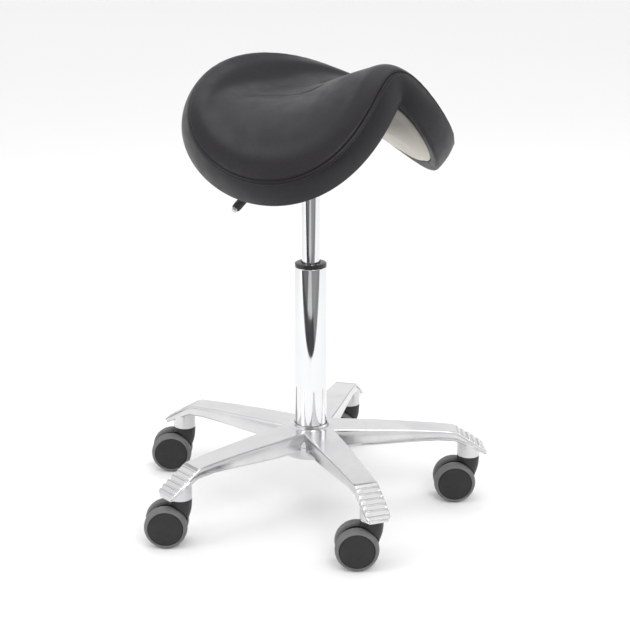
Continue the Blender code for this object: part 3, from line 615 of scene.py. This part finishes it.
def underside(reach, turn):
    edge = side(np.ones_like(turn), turn)
    height = UNDERSIDE_HEIGHT + (edge[..., 2] - UNDERSIDE_HEIGHT) * reach**UNDERSIDE_POWER
    y = UNDERSIDE_CENTRE_Y + (edge[..., 1] - UNDERSIDE_CENTRE_Y) * reach
    return np.stack([edge[..., 0] * reach, y, height], -1)


def disc_grid(n):
    """Reach and turn at the points of a square grid laid over the disc, closer together near the rim."""
    a, b = np.meshgrid(np.linspace(-1, 1, n + 1), np.linspace(-1, 1, n + 1), indexing="ij")
    size = np.maximum(np.abs(a), np.abs(b))
    wide = np.abs(a) >= np.abs(b)
    with np.errstate(divide="ignore", invalid="ignore"):
        across = np.where(wide, b / a, a / b)
    across = np.nan_to_num(across)
    turn = np.where(wide, np.where(a > 0, 0, math.pi) + math.pi / 4 * across, 0)
    turn = np.where(wide, turn, np.where(b > 0, math.pi / 2, 1.5 * math.pi) - math.pi / 4 * across)
    return 1 - (1 - size) ** GRID_SQUEEZE, turn


def seam_length(turn):
    """How far along the seam an angle lies, for gathers that are evenly spaced."""
    fine = np.linspace(0, math.tau, SEAM_SAMPLES)
    points = top(np.ones_like(fine), fine)
    run = np.concatenate([[0], np.cumsum(np.linalg.norm(np.diff(points, axis=0), axis=1))])
    return np.interp(np.mod(turn, math.tau), fine, run), run[-1]


def pull(distance, turn):
    """How far the sewn seam draws the cover in, at a distance from it, with slight gathers along it."""
    run, whole = seam_length(turn)
    gathers = sum(size * np.sin(math.tau * count * run / whole + shift) for count, shift, size in GATHER_WAVES)
    tight, soft, gathered = (
        depth * np.exp(-distance / spread) for depth, spread in (SEAM_TIGHT, SEAM_SOFT, SEAM_GATHER)
    )
    return tight + soft + gathered * gathers


def swell(distance):
    """The padding's fullness just inside the seam."""
    height, middle, spread = SWELL
    return height * np.exp(-(((distance - middle) / spread) ** 2))


def drawn_in(points, distance, turn):
    _, outward, normal = seam_frame(turn)
    return points - DRAWN_SHARE * (outward + normal) * pull(distance, turn)[..., None]


def crease(points):
    """The fold that the cover takes on each side of the dish, where the flaps turn down from it."""
    line = np.array(CREASE)
    steps = np.linspace(0, len(line) - 1, CREASE_SAMPLES)
    fine = np.stack([np.interp(steps, np.arange(len(line)), line[:, i]) for i in (0, 1)], -1)
    for _ in range(CREASE_SMOOTHING):
        fine[1:-1] = (fine[:-2] + 2 * fine[1:-1] + fine[2:]) / 4
    plan = np.stack([-np.abs(points[..., 0]), points[..., 1]], -1)
    gap = np.linalg.norm(plan[..., None, :] - fine, axis=-1)
    nearest, where = gap.min(-1), gap.argmin(-1) / (len(fine) - 1)
    strength = np.clip(where / CREASE_START, 0, 1) * np.clip((1 - where) / CREASE_END, 0, 1)
    return strength * sum(
        depth * np.exp(-((nearest / spread) ** 2)) for depth, spread in (CREASE_FOLD, CREASE_HOLLOW)
    )


def saddle_top(reach, turn, depth=0.0):
    distance = np.linalg.norm(top(reach, turn) - top(np.ones_like(reach), turn), axis=-1)
    lift = swell(distance) - depth - crease(top(reach, turn))
    return drawn_in(top(reach, turn) + upward(top, reach, turn) * lift[..., None], distance, turn)


def rolled_band(turn, depth=0.0):
    """The band's path for one set of angles: down from the seam, round its lower edge, and under the saddle."""
    shares = np.linspace(0, 1, BAND_ROWS) ** BAND_SPACING
    shares = shares[shares < BAND_STRAIGHT]
    rows = []
    for share in shares:
        q = np.full_like(turn, share)
        point = side(q, turn)
        rows.append(drawn_in(point, np.linalg.norm(point - side(0 * q, turn), axis=-1), turn))
    one = np.ones_like(turn)
    start, corner = side(BAND_STRAIGHT * one, turn), side(BAND_CORNER * one, turn)
    finish = underside(BAND_UNDER * one, turn)
    for s in np.linspace(0, 1, BAND_TURN_STEPS):
        rows.append(start * (1 - s) ** 2 + corner * 2 * s * (1 - s) + finish * s**2)
    rows.append(underside(BAND_HEM * one, turn))
    rows.append(underside(BAND_EDGE * one, turn) + upward(underside, BAND_EDGE * one, turn) * BAND_TUCK)
    path = np.stack(rows, 1)
    if depth:
        along = unit(np.gradient(path, axis=1))
        around = unit(np.roll(path, -1, 0) - np.roll(path, 1, 0))
        outwards = unit(np.cross(around, along))
        _, outward, _ = seam_frame(turn)
        sign = np.sign(np.sum(outwards[:, BAND_FACE_ROW] * outward, -1))[:, None, None]
        path = path - outwards * sign * depth
    return path


def stitches(material):
    """One short, slightly sunk loop of thread after another along the band, just under the seam."""
    fine = np.linspace(0, math.tau, STITCH_SAMPLES + 1)
    share = np.full_like(fine, STITCH_DROP / BAND_DEPTH)
    line = drawn_in(side(share, fine), np.full_like(fine, STITCH_DROP), fine)
    _, outward, _ = seam_frame(fine)
    run = np.concatenate([[0], np.cumsum(np.linalg.norm(np.diff(line, axis=0), axis=1))])
    count = int(run[-1] / STITCH_PITCH)
    sides, rings = STITCH_SIDES, STITCH_RINGS
    points, faces = [], []
    for k in range(count):
        s = (k + 0.5) / count * run[-1] + STITCH_LENGTH * (np.linspace(0, 1, rings) - 0.5)
        s = np.mod(s, run[-1])
        middle = np.stack([np.interp(s, run, line[:, i]) for i in range(3)], -1)
        out = unit(np.stack([np.interp(s, run, outward[:, i]) for i in range(3)], -1))
        along = unit(np.gradient(middle, axis=0))
        across = np.cross(along, out)
        hump = np.sin(np.linspace(STITCH_ENDS, math.pi - STITCH_ENDS, rings))
        base = len(points)
        for i in range(rings):
            for j in range(sides):
                a = math.tau * j / sides
                size = STITCH_RADIUS * (STITCH_THIN + (1 - STITCH_THIN) * hump[i])
                lift = out[i] * (STITCH_RISE * hump[i] - STITCH_SINK)
                points.append(middle[i] + lift + size * (math.cos(a) * out[i] + math.sin(a) * across[i]))
        for i in range(rings - 1):
            for j in range(sides):
                a, b = base + i * sides + j, base + i * sides + (j + 1) % sides
                faces.append((a, b, b + sides, a + sides))
        faces.append(tuple(base + j for j in range(sides)))
        faces.append(tuple(base + (rings - 1) * sides + j for j in range(sides)))
    return solid("band_stitching", points, faces, material, 60)


def make_covers():
    leather = leatherette_material()
    reach, turn = disc_grid(TOP_GRID)
    layers = closed_pad(saddle_top(reach, turn), saddle_top(reach, turn, COVER_THICKNESS))
    panel = placed(solid("seat_top_cover", *layers, leather, 60))
    stands_for(panel, "seat", "charcoal_leatherette", "cover_top_panel")

    angles = np.linspace(0, math.tau, SEAM_TURNS, endpoint=False)
    outer, inner = rolled_band(angles), rolled_band(angles, COVER_THICKNESS)
    band = solid("seat_side_cover", *closed_ring(np.concatenate([outer, inner[:, ::-1]], 1)), leather, 60)
    stands_for(placed(band), "seat", "charcoal_leatherette", "cover_side_band")
    stands_for(placed(stitches(thread_material())), "seat", "charcoal_leatherette")


def make_foam():
    reach, turn = disc_grid(FOAM_GRID)
    reach = FOAM_REACH * reach
    above = saddle_top(reach, turn, FOAM_DEPTH)
    reach = FOAM_BELOW_REACH * reach
    below = underside(reach, turn) + upward(underside, reach, turn) * FOAM_HEIGHT
    foam = placed(solid("seat_foam_body", *closed_pad(above, below), foam_material(), 60))
    stands_for(foam, "seat", "seat_foam", "seat_foam")


def make_shell():
    """The moulded shell under the saddle, with a rounded edge, and the flat pad that the bracket is bolted to."""
    reach, turn = disc_grid(SHELL_GRID)
    edge = 1 - reach
    reach = SHELL_REACH * reach
    lip_depth, lip_width = SHELL_LIP
    lip = lip_depth * np.exp(-((edge / lip_width) ** 2))
    depth, start, ramp, rounding = SHELL_PROUD
    proud = depth * np.clip((reach - start) / ramp, 0, 1) ** 2 * (1 - np.exp(-((edge / rounding) ** 2)))
    lifted = upward(underside, reach, turn)
    lower = underside(reach, turn) + lifted * (lip - proud - SHELL_CLEARANCE)[..., None]
    upper = underside(reach, turn) + lifted * (SHELL_THICKNESS - lip)[..., None]
    shell = solid("seat_shell_moulding", *closed_pad(lower, upper), shell_material(), 50)
    pad = block(PAD_LOW, PAD_HIGH)
    bmesh.ops.bevel(pad, geom=pad.edges, offset=PAD_ROUNDING, segments=3, affect="EDGES", profile=0.5)
    mesh = bpy.data.meshes.new("pad")
    pad.to_mesh(mesh)
    pad.free()
    mesh.shade_smooth()
    whole = bmesh.new()
    whole.from_mesh(shell.data)
    whole.from_mesh(mesh)
    whole.to_mesh(shell.data)
    whole.free()
    stands_for(placed(shell), "seat", "cream_shell", "seat_shell")


# ---------------------------------------- castors

# Profiles are (radius, height, rounding) points. Wheels are turned about their axle, with their outer face up.
TRAIL, WHEEL_RADIUS, CORE_RADIUS = 0.0215, 0.0325, 0.0262
INNER_FACE, OUTER_FACE = 0.0078, 0.0255
TREAD_PROFILE = [
    (CORE_RADIUS + 0.0003, INNER_FACE),
    (WHEEL_RADIUS - 0.0016, INNER_FACE, 0.0016),
    (WHEEL_RADIUS, INNER_FACE + 0.0034, 0.0030),
    (WHEEL_RADIUS, OUTER_FACE - 0.0058, 0.0050),
    (WHEEL_RADIUS - 0.0034, OUTER_FACE, 0.0030),
    (CORE_RADIUS + 0.0009, OUTER_FACE, 0.0006),
    (CORE_RADIUS + 0.0003, OUTER_FACE - 0.0012),
]
CORE_PROFILE = [
    (0.0043, INNER_FACE),
    (0.0095, INNER_FACE, 0.0006),
    (0.0105, INNER_FACE + 0.0055, 0.0015),
    (0.0215, INNER_FACE + 0.0055, 0.0015),
    (0.0228, INNER_FACE, 0.0006),
    (CORE_RADIUS, INNER_FACE),
    (CORE_RADIUS, OUTER_FACE - 0.0010, 0.0008),
    (CORE_RADIUS - 0.0012, OUTER_FACE - 0.0004, 0.0006),
    (0.0225, OUTER_FACE - 0.0001, 0.0010),
    (0, OUTER_FACE + 0.0003),
    (0, OUTER_FACE - 0.0045),
    (0.0043, OUTER_FACE - 0.0045),
]
GUARD_PROFILE = [(0, 0.0348), (0.0096, 0.0348, 0.002), (0.0168, 0.0550, 0.012), (0.0176, 0.0732, 0.001), (0, 0.0732)]
WELL_RADIUS, WELL_HALF, WELL_CENTRE = WHEEL_RADIUS + 0.0014, 0.02, 0.0267
STEM_HOLE, STEM_HOLE_LOW, STEM_HOLE_HIGH = 0.0058, 0.050, 0.080
AXLE_HOLE, AXLE_HOLE_HALF = 0.0043, 0.021
FORK_HALF, FORK_END_RADIUS = 0.0062, 0.0110
FORK_FRONT = [(-0.0140, 0.0700), (-0.0128, 0.0520), (-0.0090, 0.0330), (-0.0010, 0.0262), (0.0100, 0.0236)]
FORK_BACK = [(0.0182, 0.0520), (0.0128, 0.0600), (0.0120, 0.0700)]
FORK_END_FROM_DEG, FORK_END_SWEEP_DEG, FORK_END_STEPS = -110, 160, 14
FORK_BEVEL, FORK_SHARP_DEG = 0.0005, 38


def disc_profile(radius, low, high):
    return [(0, low), (radius, low), (radius, high), (0, high)]


def axle_shape(profile, shift=0.0, segments=96):
    """A turned shape along the axle of a castor whose stem is the Z axis."""
    bm = turned(profile, segments)
    turn = Matrix.Rotation(math.radians(-90), 4, "X")
    bm.transform(Matrix.Translation((TRAIL, 0, WHEEL_RADIUS)) @ turn @ Matrix.Translation((0, 0, shift)))
    return bm


def fork_outline():
    outline = list(FORK_FRONT)
    for step in range(FORK_END_STEPS + 1):
        a = math.radians(FORK_END_FROM_DEG + FORK_END_SWEEP_DEG * step / FORK_END_STEPS)
        outline.append((TRAIL + FORK_END_RADIUS * math.cos(a), WHEEL_RADIUS + FORK_END_RADIUS * math.sin(a)))
    return outline + FORK_BACK


def swivel_body(nylon):
    """The fork and guard, made once: a neck, hollowed for the wheels, and the plate that carries the axle."""
    body = finished("swivel_master", turned(rounded(GUARD_PROFILE), 72), nylon)
    others = []
    for way in (-1, 1):
        well = disc_profile(WELL_RADIUS, -WELL_HALF, WELL_HALF)
        others.append((finished(f"well_{way + 2}", axle_shape(well, way * WELL_CENTRE), nylon), "DIFFERENCE"))
    plate = lofted([[(x, way * FORK_HALF, z) for x, z in fork_outline()] for way in (-1, 1)])
    others.append((finished("plate", plate, nylon), "UNION"))
    stem_hole = turned(disc_profile(STEM_HOLE, STEM_HOLE_LOW, STEM_HOLE_HIGH), 24)
    axle_hole = axle_shape(disc_profile(AXLE_HOLE, -AXLE_HOLE_HALF, AXLE_HOLE_HALF), 0, 24)
    others.append((finished("stem_hole", stem_hole, nylon), "DIFFERENCE"))
    others.append((finished("axle_hole", axle_hole, nylon), "DIFFERENCE"))
    smoothed(applied(body, others), FORK_SHARP_DEG)
    return body


def copied(name, master, place):
    """Another object that shares the master's mesh."""
    piece = linked(name, master.data)
    piece.matrix_world = place
    return piece


def make_castors(nylon):
    hub_grey = plastic_material("dark_grey_hub", (0.010, 0.010, 0.0103), (0.014, 0.014, 0.0143), 0.55, 1600)
    fork = swivel_body(nylon)
    tread = finished("tread_master", turned(rounded(TREAD_PROFILE), 128), tread_material())
    core = finished("core_master", turned(rounded(CORE_PROFILE, 4), 96), hub_grey)
    for number in range(1, ARM_COUNT + 1):
        stem, axle = middle_of(f"caster_stem_{number}"), middle_of(f"caster_axle_{number}")
        trail = axle - stem
        place = Matrix.Translation((stem.x, stem.y, 0)) @ Matrix.Rotation(math.atan2(trail.y, trail.x), 4, "Z")
        body = copied(f"castor_fork_{number}", fork, place)
        bevelled(body, FORK_BEVEL)
        stands_for(body, f"caster_{number}", "black_nylon", f"caster_body_{number}")
        for letter in ("a", "b"):
            outwards = middle_of(f"wheel_core_{number}_{letter}") - axle
            axle_place = Matrix.Translation(axle) @ outwards.to_track_quat("Z", "Y").to_matrix().to_4x4()
            for kind, shape, slot in (("tread", tread, "grey_tread"), ("core", core, "dark_grey_hub")):
                piece = copied(f"castor_{kind}_{number}_{letter}", shape, axle_place)
                stands_for(piece, f"wheel_{number}_{letter}", slot, f"wheel_{kind}_{number}_{letter}")
    for shape in (fork, tread, core):
        bpy.data.objects.remove(shape, do_unlink=True)


# ---------------------------------------- star base

HUB_HALF_WIDTH, HUB_TOP, ARM_BOTTOM = 0.0253, 0.1300, 0.0985
HUB_RADIUS, HUB_BOTTOM, BORE = 0.0310, 0.0830, 0.0253
BOSS_RADIUS, BOSS_BOTTOM, BOSS_TOP, BOSS_TOP_SLOPE = 0.0178, 0.0735, 0.0977, 0.58
ARM_KEYS = (
    # distance from the column, half width, top, bottom
    (0.0348, 0.0253, 0.1300, 0.0985), (0.1000, 0.0236, 0.1277, 0.1003), (0.1600, 0.0208, 0.1245, 0.1032),
    (0.1980, 0.0194, 0.1218, 0.1045), (0.2260, 0.0187, 0.1190, 0.1022), (0.2330, 0.0190, 0.1146, 0.0996),
    (0.2730, 0.0188, 0.0887, 0.0795), (0.2768, 0.0180, 0.0852, 0.0785),
)
RIDGES, RIDGE_START, RIDGE_END, RIDGE_RISE = 5, 0.2310, 0.2725, 0.0022
CREST_SHARE, GROOVE_DEPTH = 0.70, 0.0012
TIP_START, TIP_LENGTH, TIP_NARROWING, TIP_DROP = 0.2740, 0.0028, 0.0016, 0.0010
# Where an arm's sections stand: a few along it, many over the ridges, and the rounded tip.
ARM_PLACES = [*np.linspace(0.052, 0.226, 20), *np.linspace(0.2265, 0.2735, 66), 0.2750, 0.2762, 0.2768]
VALLEY_REACH = 0.0272
SHOULDER, SHOULDER_TURNS, SHOULDER_RAISED = 0.0022, (0, 0.35, 0.75, 1.15, 1.571), 0.8
FLAT_SHARES = (0.5, 0.80)
# An arm's side under the shoulder: the inset from the half width, and the height as a share of the depth.
ARM_SIDE = (
    (0.0001, 0.84), (0.0005, 0.80), (0.0024, 0.77), (0.0028, 0.73), (0.0029, 0.50),
    (0.0023, 0.18), (0.0018, 0.08), (0.0026, 0.02), (0.0050, 0.00),
)
HUB_STEPS, HUB_EDGE, BORE_EDGE = 12, 0.0012, 0.0006
HUB_PROFILE = [
    (HUB_RADIUS, ARM_BOTTOM), (HUB_RADIUS, HUB_BOTTOM + HUB_EDGE), (HUB_RADIUS - HUB_EDGE, HUB_BOTTOM),
    (BORE + BORE_EDGE, HUB_BOTTOM), (BORE, HUB_BOTTOM + BORE_EDGE), (BORE, HUB_TOP - 0.0005),
    (BORE + BORE_EDGE, HUB_TOP),
]
BARREL_PROFILE = [
    (0.0290, 0.0862), (0.0440, 0.0862, 0.0030), (0.0452, 0.1080, 0.0060), (0.0400, 0.1150), (0.0290, 0.1150),
]
FILLET_PROFILE = [
    (0.0256, 0.1280), (0.0350, 0.1280), (0.0350, 0.1301), (0.0325, 0.1304), (0.0298, 0.1311), (0.0278, 0.1324),
    (0.0265, 0.1340), (0.0256, 0.1346),
]
BOSS_EDGE, BOSS_HOLE_LOW, BOSS_HOLE_HIGH = 0.0009, 0.0700, 0.0955
STAR_SHARP_DEG = 34


def arm_outline(half_width, top_z, bottom_z, raised=0.0):
    """An arm's section: flat top, rounded shoulders, a hollow along each side, and foot flanges."""
    depth = top_z - bottom_z
    rim = min(SHOULDER, depth / 7)
    corner = [(half_width - rim + rim * math.sin(a), top_z - rim + rim * math.cos(a)) for a in SHOULDER_TURNS]
    half = [(half_width * share, top_z + raised) for share in FLAT_SHARES]
    half += [(corner[0][0], corner[0][1] + SHOULDER_RAISED * raised)] + corner[1:]
    half += [(half_width - inset, bottom_z + share * depth) for inset, share in ARM_SIDE]
    return half + [(-y, z) for y, z in reversed(half)]


def ridge_height(x):
    """How much the ridges on an arm's slope raise its top, at this distance from the column."""
    if not RIDGE_START < x < RIDGE_END:
        return 0.0
    phase = (x - RIDGE_START) / ((RIDGE_END - RIDGE_START) / RIDGES) % 1
    raised = RIDGE_RISE * max(0.0, math.sin(math.pi * min(phase / CREST_SHARE, 1.0))) ** 0.5
    if phase > CREST_SHARE:
        raised -= GROOVE_DEPTH * math.sin(math.pi * (phase - CREST_SHARE) / (1 - CREST_SHARE))
    return raised


def arm_rows():
    """The sections of the arm along X, from the valley that it shares with its neighbours to its tip."""
    keys = np.array(ARM_KEYS)
    reach = 1 / math.tan(math.radians(ARM_STEP_DEG / 2))
    valley = arm_outline(HUB_HALF_WIDTH, HUB_TOP, ARM_BOTTOM)
    rows = [[Vector((max(abs(y) * reach, VALLEY_REACH), y, z)) for y, z in valley]]
    for x in ARM_PLACES:
        half_width, top_z, bottom_z = (np.interp(x, keys[:, 0], keys[:, k]) for k in (1, 2, 3))
        ease = max(0.0, (x - TIP_START) / TIP_LENGTH)
        half_width -= TIP_NARROWING * ease**2
        top_z -= TIP_DROP * ease**2
        rows.append([Vector((x, y, z)) for y, z in arm_outline(half_width, top_z, bottom_z, ridge_height(x))])
    return rows


def star_body():
    """The arms and the hub as one closed surface, made of one equal sector for each arm."""
    bm = bmesh.new()
    for i in range(ARM_COUNT):
        turn = Matrix.Rotation(math.radians(FIRST_ARM_DEG + ARM_STEP_DEG * i), 4, "Z")
        rows = [[bm.verts.new(turn @ p) for p in row] for row in arm_rows()]
        joined(bm, rows, len(rows[0]))
        bm.faces.new(rows[-1])
        turns = [math.radians(ARM_STEP_DEG * (k / HUB_STEPS - 0.5)) for k in range(HUB_STEPS + 1)]
        arcs = []
        for radius, height in HUB_PROFILE:
            arc = [Vector((radius * math.cos(t), radius * math.sin(t), height)) for t in turns]
            arcs.append([bm.verts.new(turn @ p) for p in arc])
        joined(bm, arcs, HUB_STEPS)
        valley = rows[0]
        half = len(valley) // 2
        bm.faces.new([valley[1], valley[0], valley[-1], valley[-2]] + arcs[-1])
        bm.faces.new([valley[half - 1], valley[half]] + arcs[0])
    bmesh.ops.remove_doubles(bm, verts=bm.verts, dist=SECTOR_MERGE)
    return bm


def make_star(aluminium):
    star = finished("star_casting", star_body(), aluminium, STAR_SHARP_DEG)
    others = []
    boss_profile = rounded([
        (0, BOSS_BOTTOM), (BOSS_RADIUS, BOSS_BOTTOM, BOSS_EDGE), (BOSS_RADIUS, BOSS_TOP), (0, BOSS_TOP),
    ])
    for number in range(1, ARM_COUNT + 1):
        stem = middle_of(f"caster_stem_{number}") - AXIS
        boss = turned(boss_profile, 64)
        for vert in boss.verts:
            if vert.co.z > BOSS_TOP - 0.001:
                vert.co.z -= BOSS_TOP_SLOPE * vert.co.xy.dot(stem.xy.normalized())
        shape = finished(f"boss_{number}", boss, aluminium)
        hole = finished(f"hole_{number}", turned(disc_profile(STEM_HOLE, BOSS_HOLE_LOW, BOSS_HOLE_HIGH), 32), aluminium)
        shape.location = hole.location = (stem.x, stem.y, 0)
        others += [(shape, "UNION"), (hole, "DIFFERENCE")]
    others.append((finished("hub_barrel", turned(rounded(BARREL_PROFILE), 96), aluminium), "UNION"))
    others.append((finished("hub_fillet", turned(FILLET_PROFILE, 96), aluminium), "UNION"))
    smoothed(applied(star, others), STAR_SHARP_DEG)
    stands_for(placed(star), "base", "polished_aluminium", "star_base")


# ---------------------------------------- column, seat bracket and lever

SLEEVE_BORE, SLEEVE_STEP, COLLAR_BORE = 0.0225, 0.0004, 0.0143
CAN_LOW_BORE, CAN_BORE, CAN_TOP_BORE, CAN_SHOULDER = 0.0062, 0.0120, 0.0052, 0.5250
SOCKET_BORE, SOCKET_RADIUS, SOCKET_TOP, SOCKET_SHARP_DEG = 0.0143, 0.0175, 0.0200, 32
SLOT_LOW, SLOT_HIGH = (-0.0300, -0.0055, 0.5955), (0, 0.0055, 0.6200)


def make_column(chrome, black, painted):
    low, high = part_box("column_tube")
    radius = (high.x - low.x) / 2
    tube = rounded([
        (SLEEVE_BORE, low.z), (radius - SLEEVE_STEP, low.z, 0.0004), (radius - SLEEVE_STEP, 0.0990, 0.0002),
        (radius, 0.1002, 0.0002), (radius, high.z, 0.0007), (SLEEVE_BORE, high.z, 0.0007),
    ])
    stands_for(placed(finished("column_sleeve", turned(tube, 128), chrome)), "base", "chrome", "column_tube")

    low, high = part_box("column_collar")
    radius = (high.x - low.x) / 2
    ring = rounded([
        (COLLAR_BORE, low.z + 0.0006), (COLLAR_BORE + 0.0007, low.z), (radius, low.z, 0.0009),
        (radius, high.z - 0.0016, 0.0006), (radius - 0.0034, high.z - 0.0004, 0.0016),
        (COLLAR_BORE + 0.0020, high.z, 0.0006), (COLLAR_BORE, high.z - 0.0014, 0.0004),
    ])
    stands_for(placed(finished("collar_ring", turned(ring, 96), black)), "base", "black_plastic", "column_collar")

    low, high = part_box("gas_cylinder")
    radius = (high.x - low.x) / 2
    can = rounded([
        (CAN_LOW_BORE, low.z + 0.0006), (CAN_LOW_BORE + 0.0008, low.z), (radius - 0.0012, low.z, 0.0008),
        (radius, low.z + 0.0022, 0.0012), (radius, CAN_SHOULDER), (0.0132, high.z, 0.0010),
        (CAN_TOP_BORE, high.z, 0.0004), (CAN_TOP_BORE, high.z - 0.0200), (CAN_BORE - 0.0002, high.z - 0.0240),
        (CAN_BORE, low.z + 0.0240), (CAN_LOW_BORE, low.z + 0.0200),
    ])
    stands_for(placed(finished("gas_spring_can", turned(can, 128), chrome)), "seat", "chrome", "gas_cylinder")

    low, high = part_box("taper_socket")
    socket = rounded([
        (SOCKET_BORE, low.z, 0.0003), (SOCKET_RADIUS, low.z, 0.0010), (SOCKET_RADIUS, 0.5285, 0.0012),
        (SOCKET_TOP, 0.5600, 0.0060), (SOCKET_TOP, high.z), (SOCKET_BORE, high.z),
    ])
    shape = placed(finished("socket_taper", turned(socket, 96), painted))
    slot = placed(finished("socket_slot", block(SLOT_LOW, SLOT_HIGH), painted))
    smoothed(applied(shape, [(slot, "DIFFERENCE")]), SOCKET_SHARP_DEG)
    stands_for(shape, "seat", "black_painted_steel", "taper_socket")


# The lever's rod, from inside the bracket's slot to its tip, as (x, z) from the column's axis.
LEVER_CORNERS = ((0.0060, 0.6035), (-0.0480, 0.6035), (-0.0780, 0.5560), (-0.1570, 0.5020))
LEVER_BEND, BEND_STEPS, LEVER_RADIUS = 0.0100, 12, 0.0040
# The rounded end of the rod: distance from its tip, radius.
LEVER_END = ((0.0008, 0.0040), (0.0002, 0.0037), (0, 0.0031))
GRIP_LENGTH, GRIP_BACK, GRIP_SIDES, SWEPT_SHARP_DEG = 0.0500, 0.0040, 40, 34
# The grip's stations (distance along it, radius): its near end, the grooves between its ribs, its far end.
GRIP_NEAR_END = ((0, 0.0046), (0.0004, 0.0060), (0.0014, 0.0066), (0.0060, 0.0067))
GROOVES, FIRST_GROOVE, GROOVE_PITCH = 9, 0.0085, 0.0039
GROOVE_STATIONS = ((-0.0011, 0.0066), (-0.0007, 0.0061), (0.0007, 0.0061), (0.0011, 0.0066))
GRIP_FAR_END = ((0.0430, 0.0066), (0.0475, 0.0063), (0.0490, 0.0059), (0.0498, 0.0052), (0.0500, 0.0042))


def swept(name, path, radii, material, sides=32):
    """A round bar along a path, with its radius at every point, closed by slightly rounded ends."""
    rows = []
    side = Vector((0, 1, 0))
    for k, (point, radius) in enumerate(zip(path, radii)):
        before, after = path[max(k - 1, 0)], path[min(k + 1, len(path) - 1)]
        up = (after - before).normalized().cross(side)
        turns = [math.tau * j / sides for j in range(sides)]
        rows.append([point + radius * (math.cos(a) * side + math.sin(a) * up) for a in turns])
    return finished(name, lofted(rows), material, SWEPT_SHARP_DEG)


def make_lever(steel, rubber):
    """One bent rod: level through the slot, down, and outwards to a ribbed grip with the rod's tip beyond it."""
    corners = [Vector((x, 0, z)) for x, z in LEVER_CORNERS]
    path = [corners[0]]
    for before, here, after in zip(corners, corners[1:], corners[2:]):
        a = here + (before - here).normalized() * LEVER_BEND
        b = here + (after - here).normalized() * LEVER_BEND
        for k in range(BEND_STEPS + 1):
            s = k / BEND_STEPS
            path.append(a * (1 - s) ** 2 + here * 2 * s * (1 - s) + b * s**2)
    outwards = (corners[-1] - path[-1]).normalized()
    radii = [LEVER_RADIUS] * len(path) + [radius for _, radius in LEVER_END]
    path += [corners[-1] - outwards * back for back, _ in LEVER_END]
    rod = placed(swept("lever_bar", path, radii, steel))
    stands_for(rod, "lever", "zinc_plated_steel", "lever_rod")

    start = corners[-1] - outwards * GRIP_BACK - outwards * GRIP_LENGTH
    stations = list(GRIP_NEAR_END)
    for k in range(GROOVES):
        middle = FIRST_GROOVE + GROOVE_PITCH * k
        stations += [(middle + offset, radius) for offset, radius in GROOVE_STATIONS]
    stations += GRIP_FAR_END
    along = [start + outwards * distance for distance, _ in stations]
    grip = placed(swept("lever_hand_grip", along, [radius for _, radius in stations], rubber, GRIP_SIDES))
    stands_for(grip, "lever", "black_rubber", "lever_grip")


SLOT_OF = {
    "guide_bush": "black_nylon", "thrust_bearing": "zinc_plated_steel", "caster_stem": "zinc_plated_steel",
    "piston_rod": "chrome", "retaining_clip": "zinc_plated_steel", "bump_stop": "black_rubber",
    "piston": "zinc_plated_steel", "rod_seal": "black_rubber", "seat_bracket": "black_painted_steel",
    "lever_pivot_pin": "zinc_plated_steel", "seat_bolt": "zinc_plated_steel", "valve_pin": "zinc_plated_steel",
    "caster_axle": "zinc_plated_steel",
}
NODE_BEVEL = 0.0003


def dress_nodes(materials):
    """Gives every CAD node that stays its detailed material and slightly broken edges."""
    for name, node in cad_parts.items():
        if node.hide_render:
            continue
        material = materials[SLOT_OF[name.rstrip("0123456789").rstrip("_")]]
        if not node.material_slots:
            continue
        for place in node.material_slots:
            place.material = material
        bevelled(node, NODE_BEVEL)


def rubber_material():
    s = Shading("black_rubber", (0.021, 0.021, 0.022), 0.62, Specular_IOR_Level=0.4)
    s.tint(s.noise(70, 4), (0.032, 0.032, 0.032))
    s.gloss(s.noise(160, 4), 0.54, 0.70)
    s.bump(s.noise(1400, 3), 0.00012, 0.7)
    return s.material


place_camera()
studio()
make_covers()
make_foam()
make_shell()
steel, chrome, painted, rubber = steel_material(), chrome_material(), painted_material(), rubber_material()
plastic = plastic_material("black_plastic", (0.009, 0.009, 0.0095), (0.014, 0.014, 0.0145), 0.20, 1500)
nylon = plastic_material("black_nylon", (0.008, 0.008, 0.0085), (0.013, 0.013, 0.0135), 0.40, 1100)
make_castors(nylon)
make_star(aluminium_material())
make_column(chrome, plastic, painted)
make_lever(steel, rubber)
dress_nodes({
    "zinc_plated_steel": steel, "chrome": chrome, "black_painted_steel": painted, "black_rubber": rubber,
    "black_nylon": nylon,
})
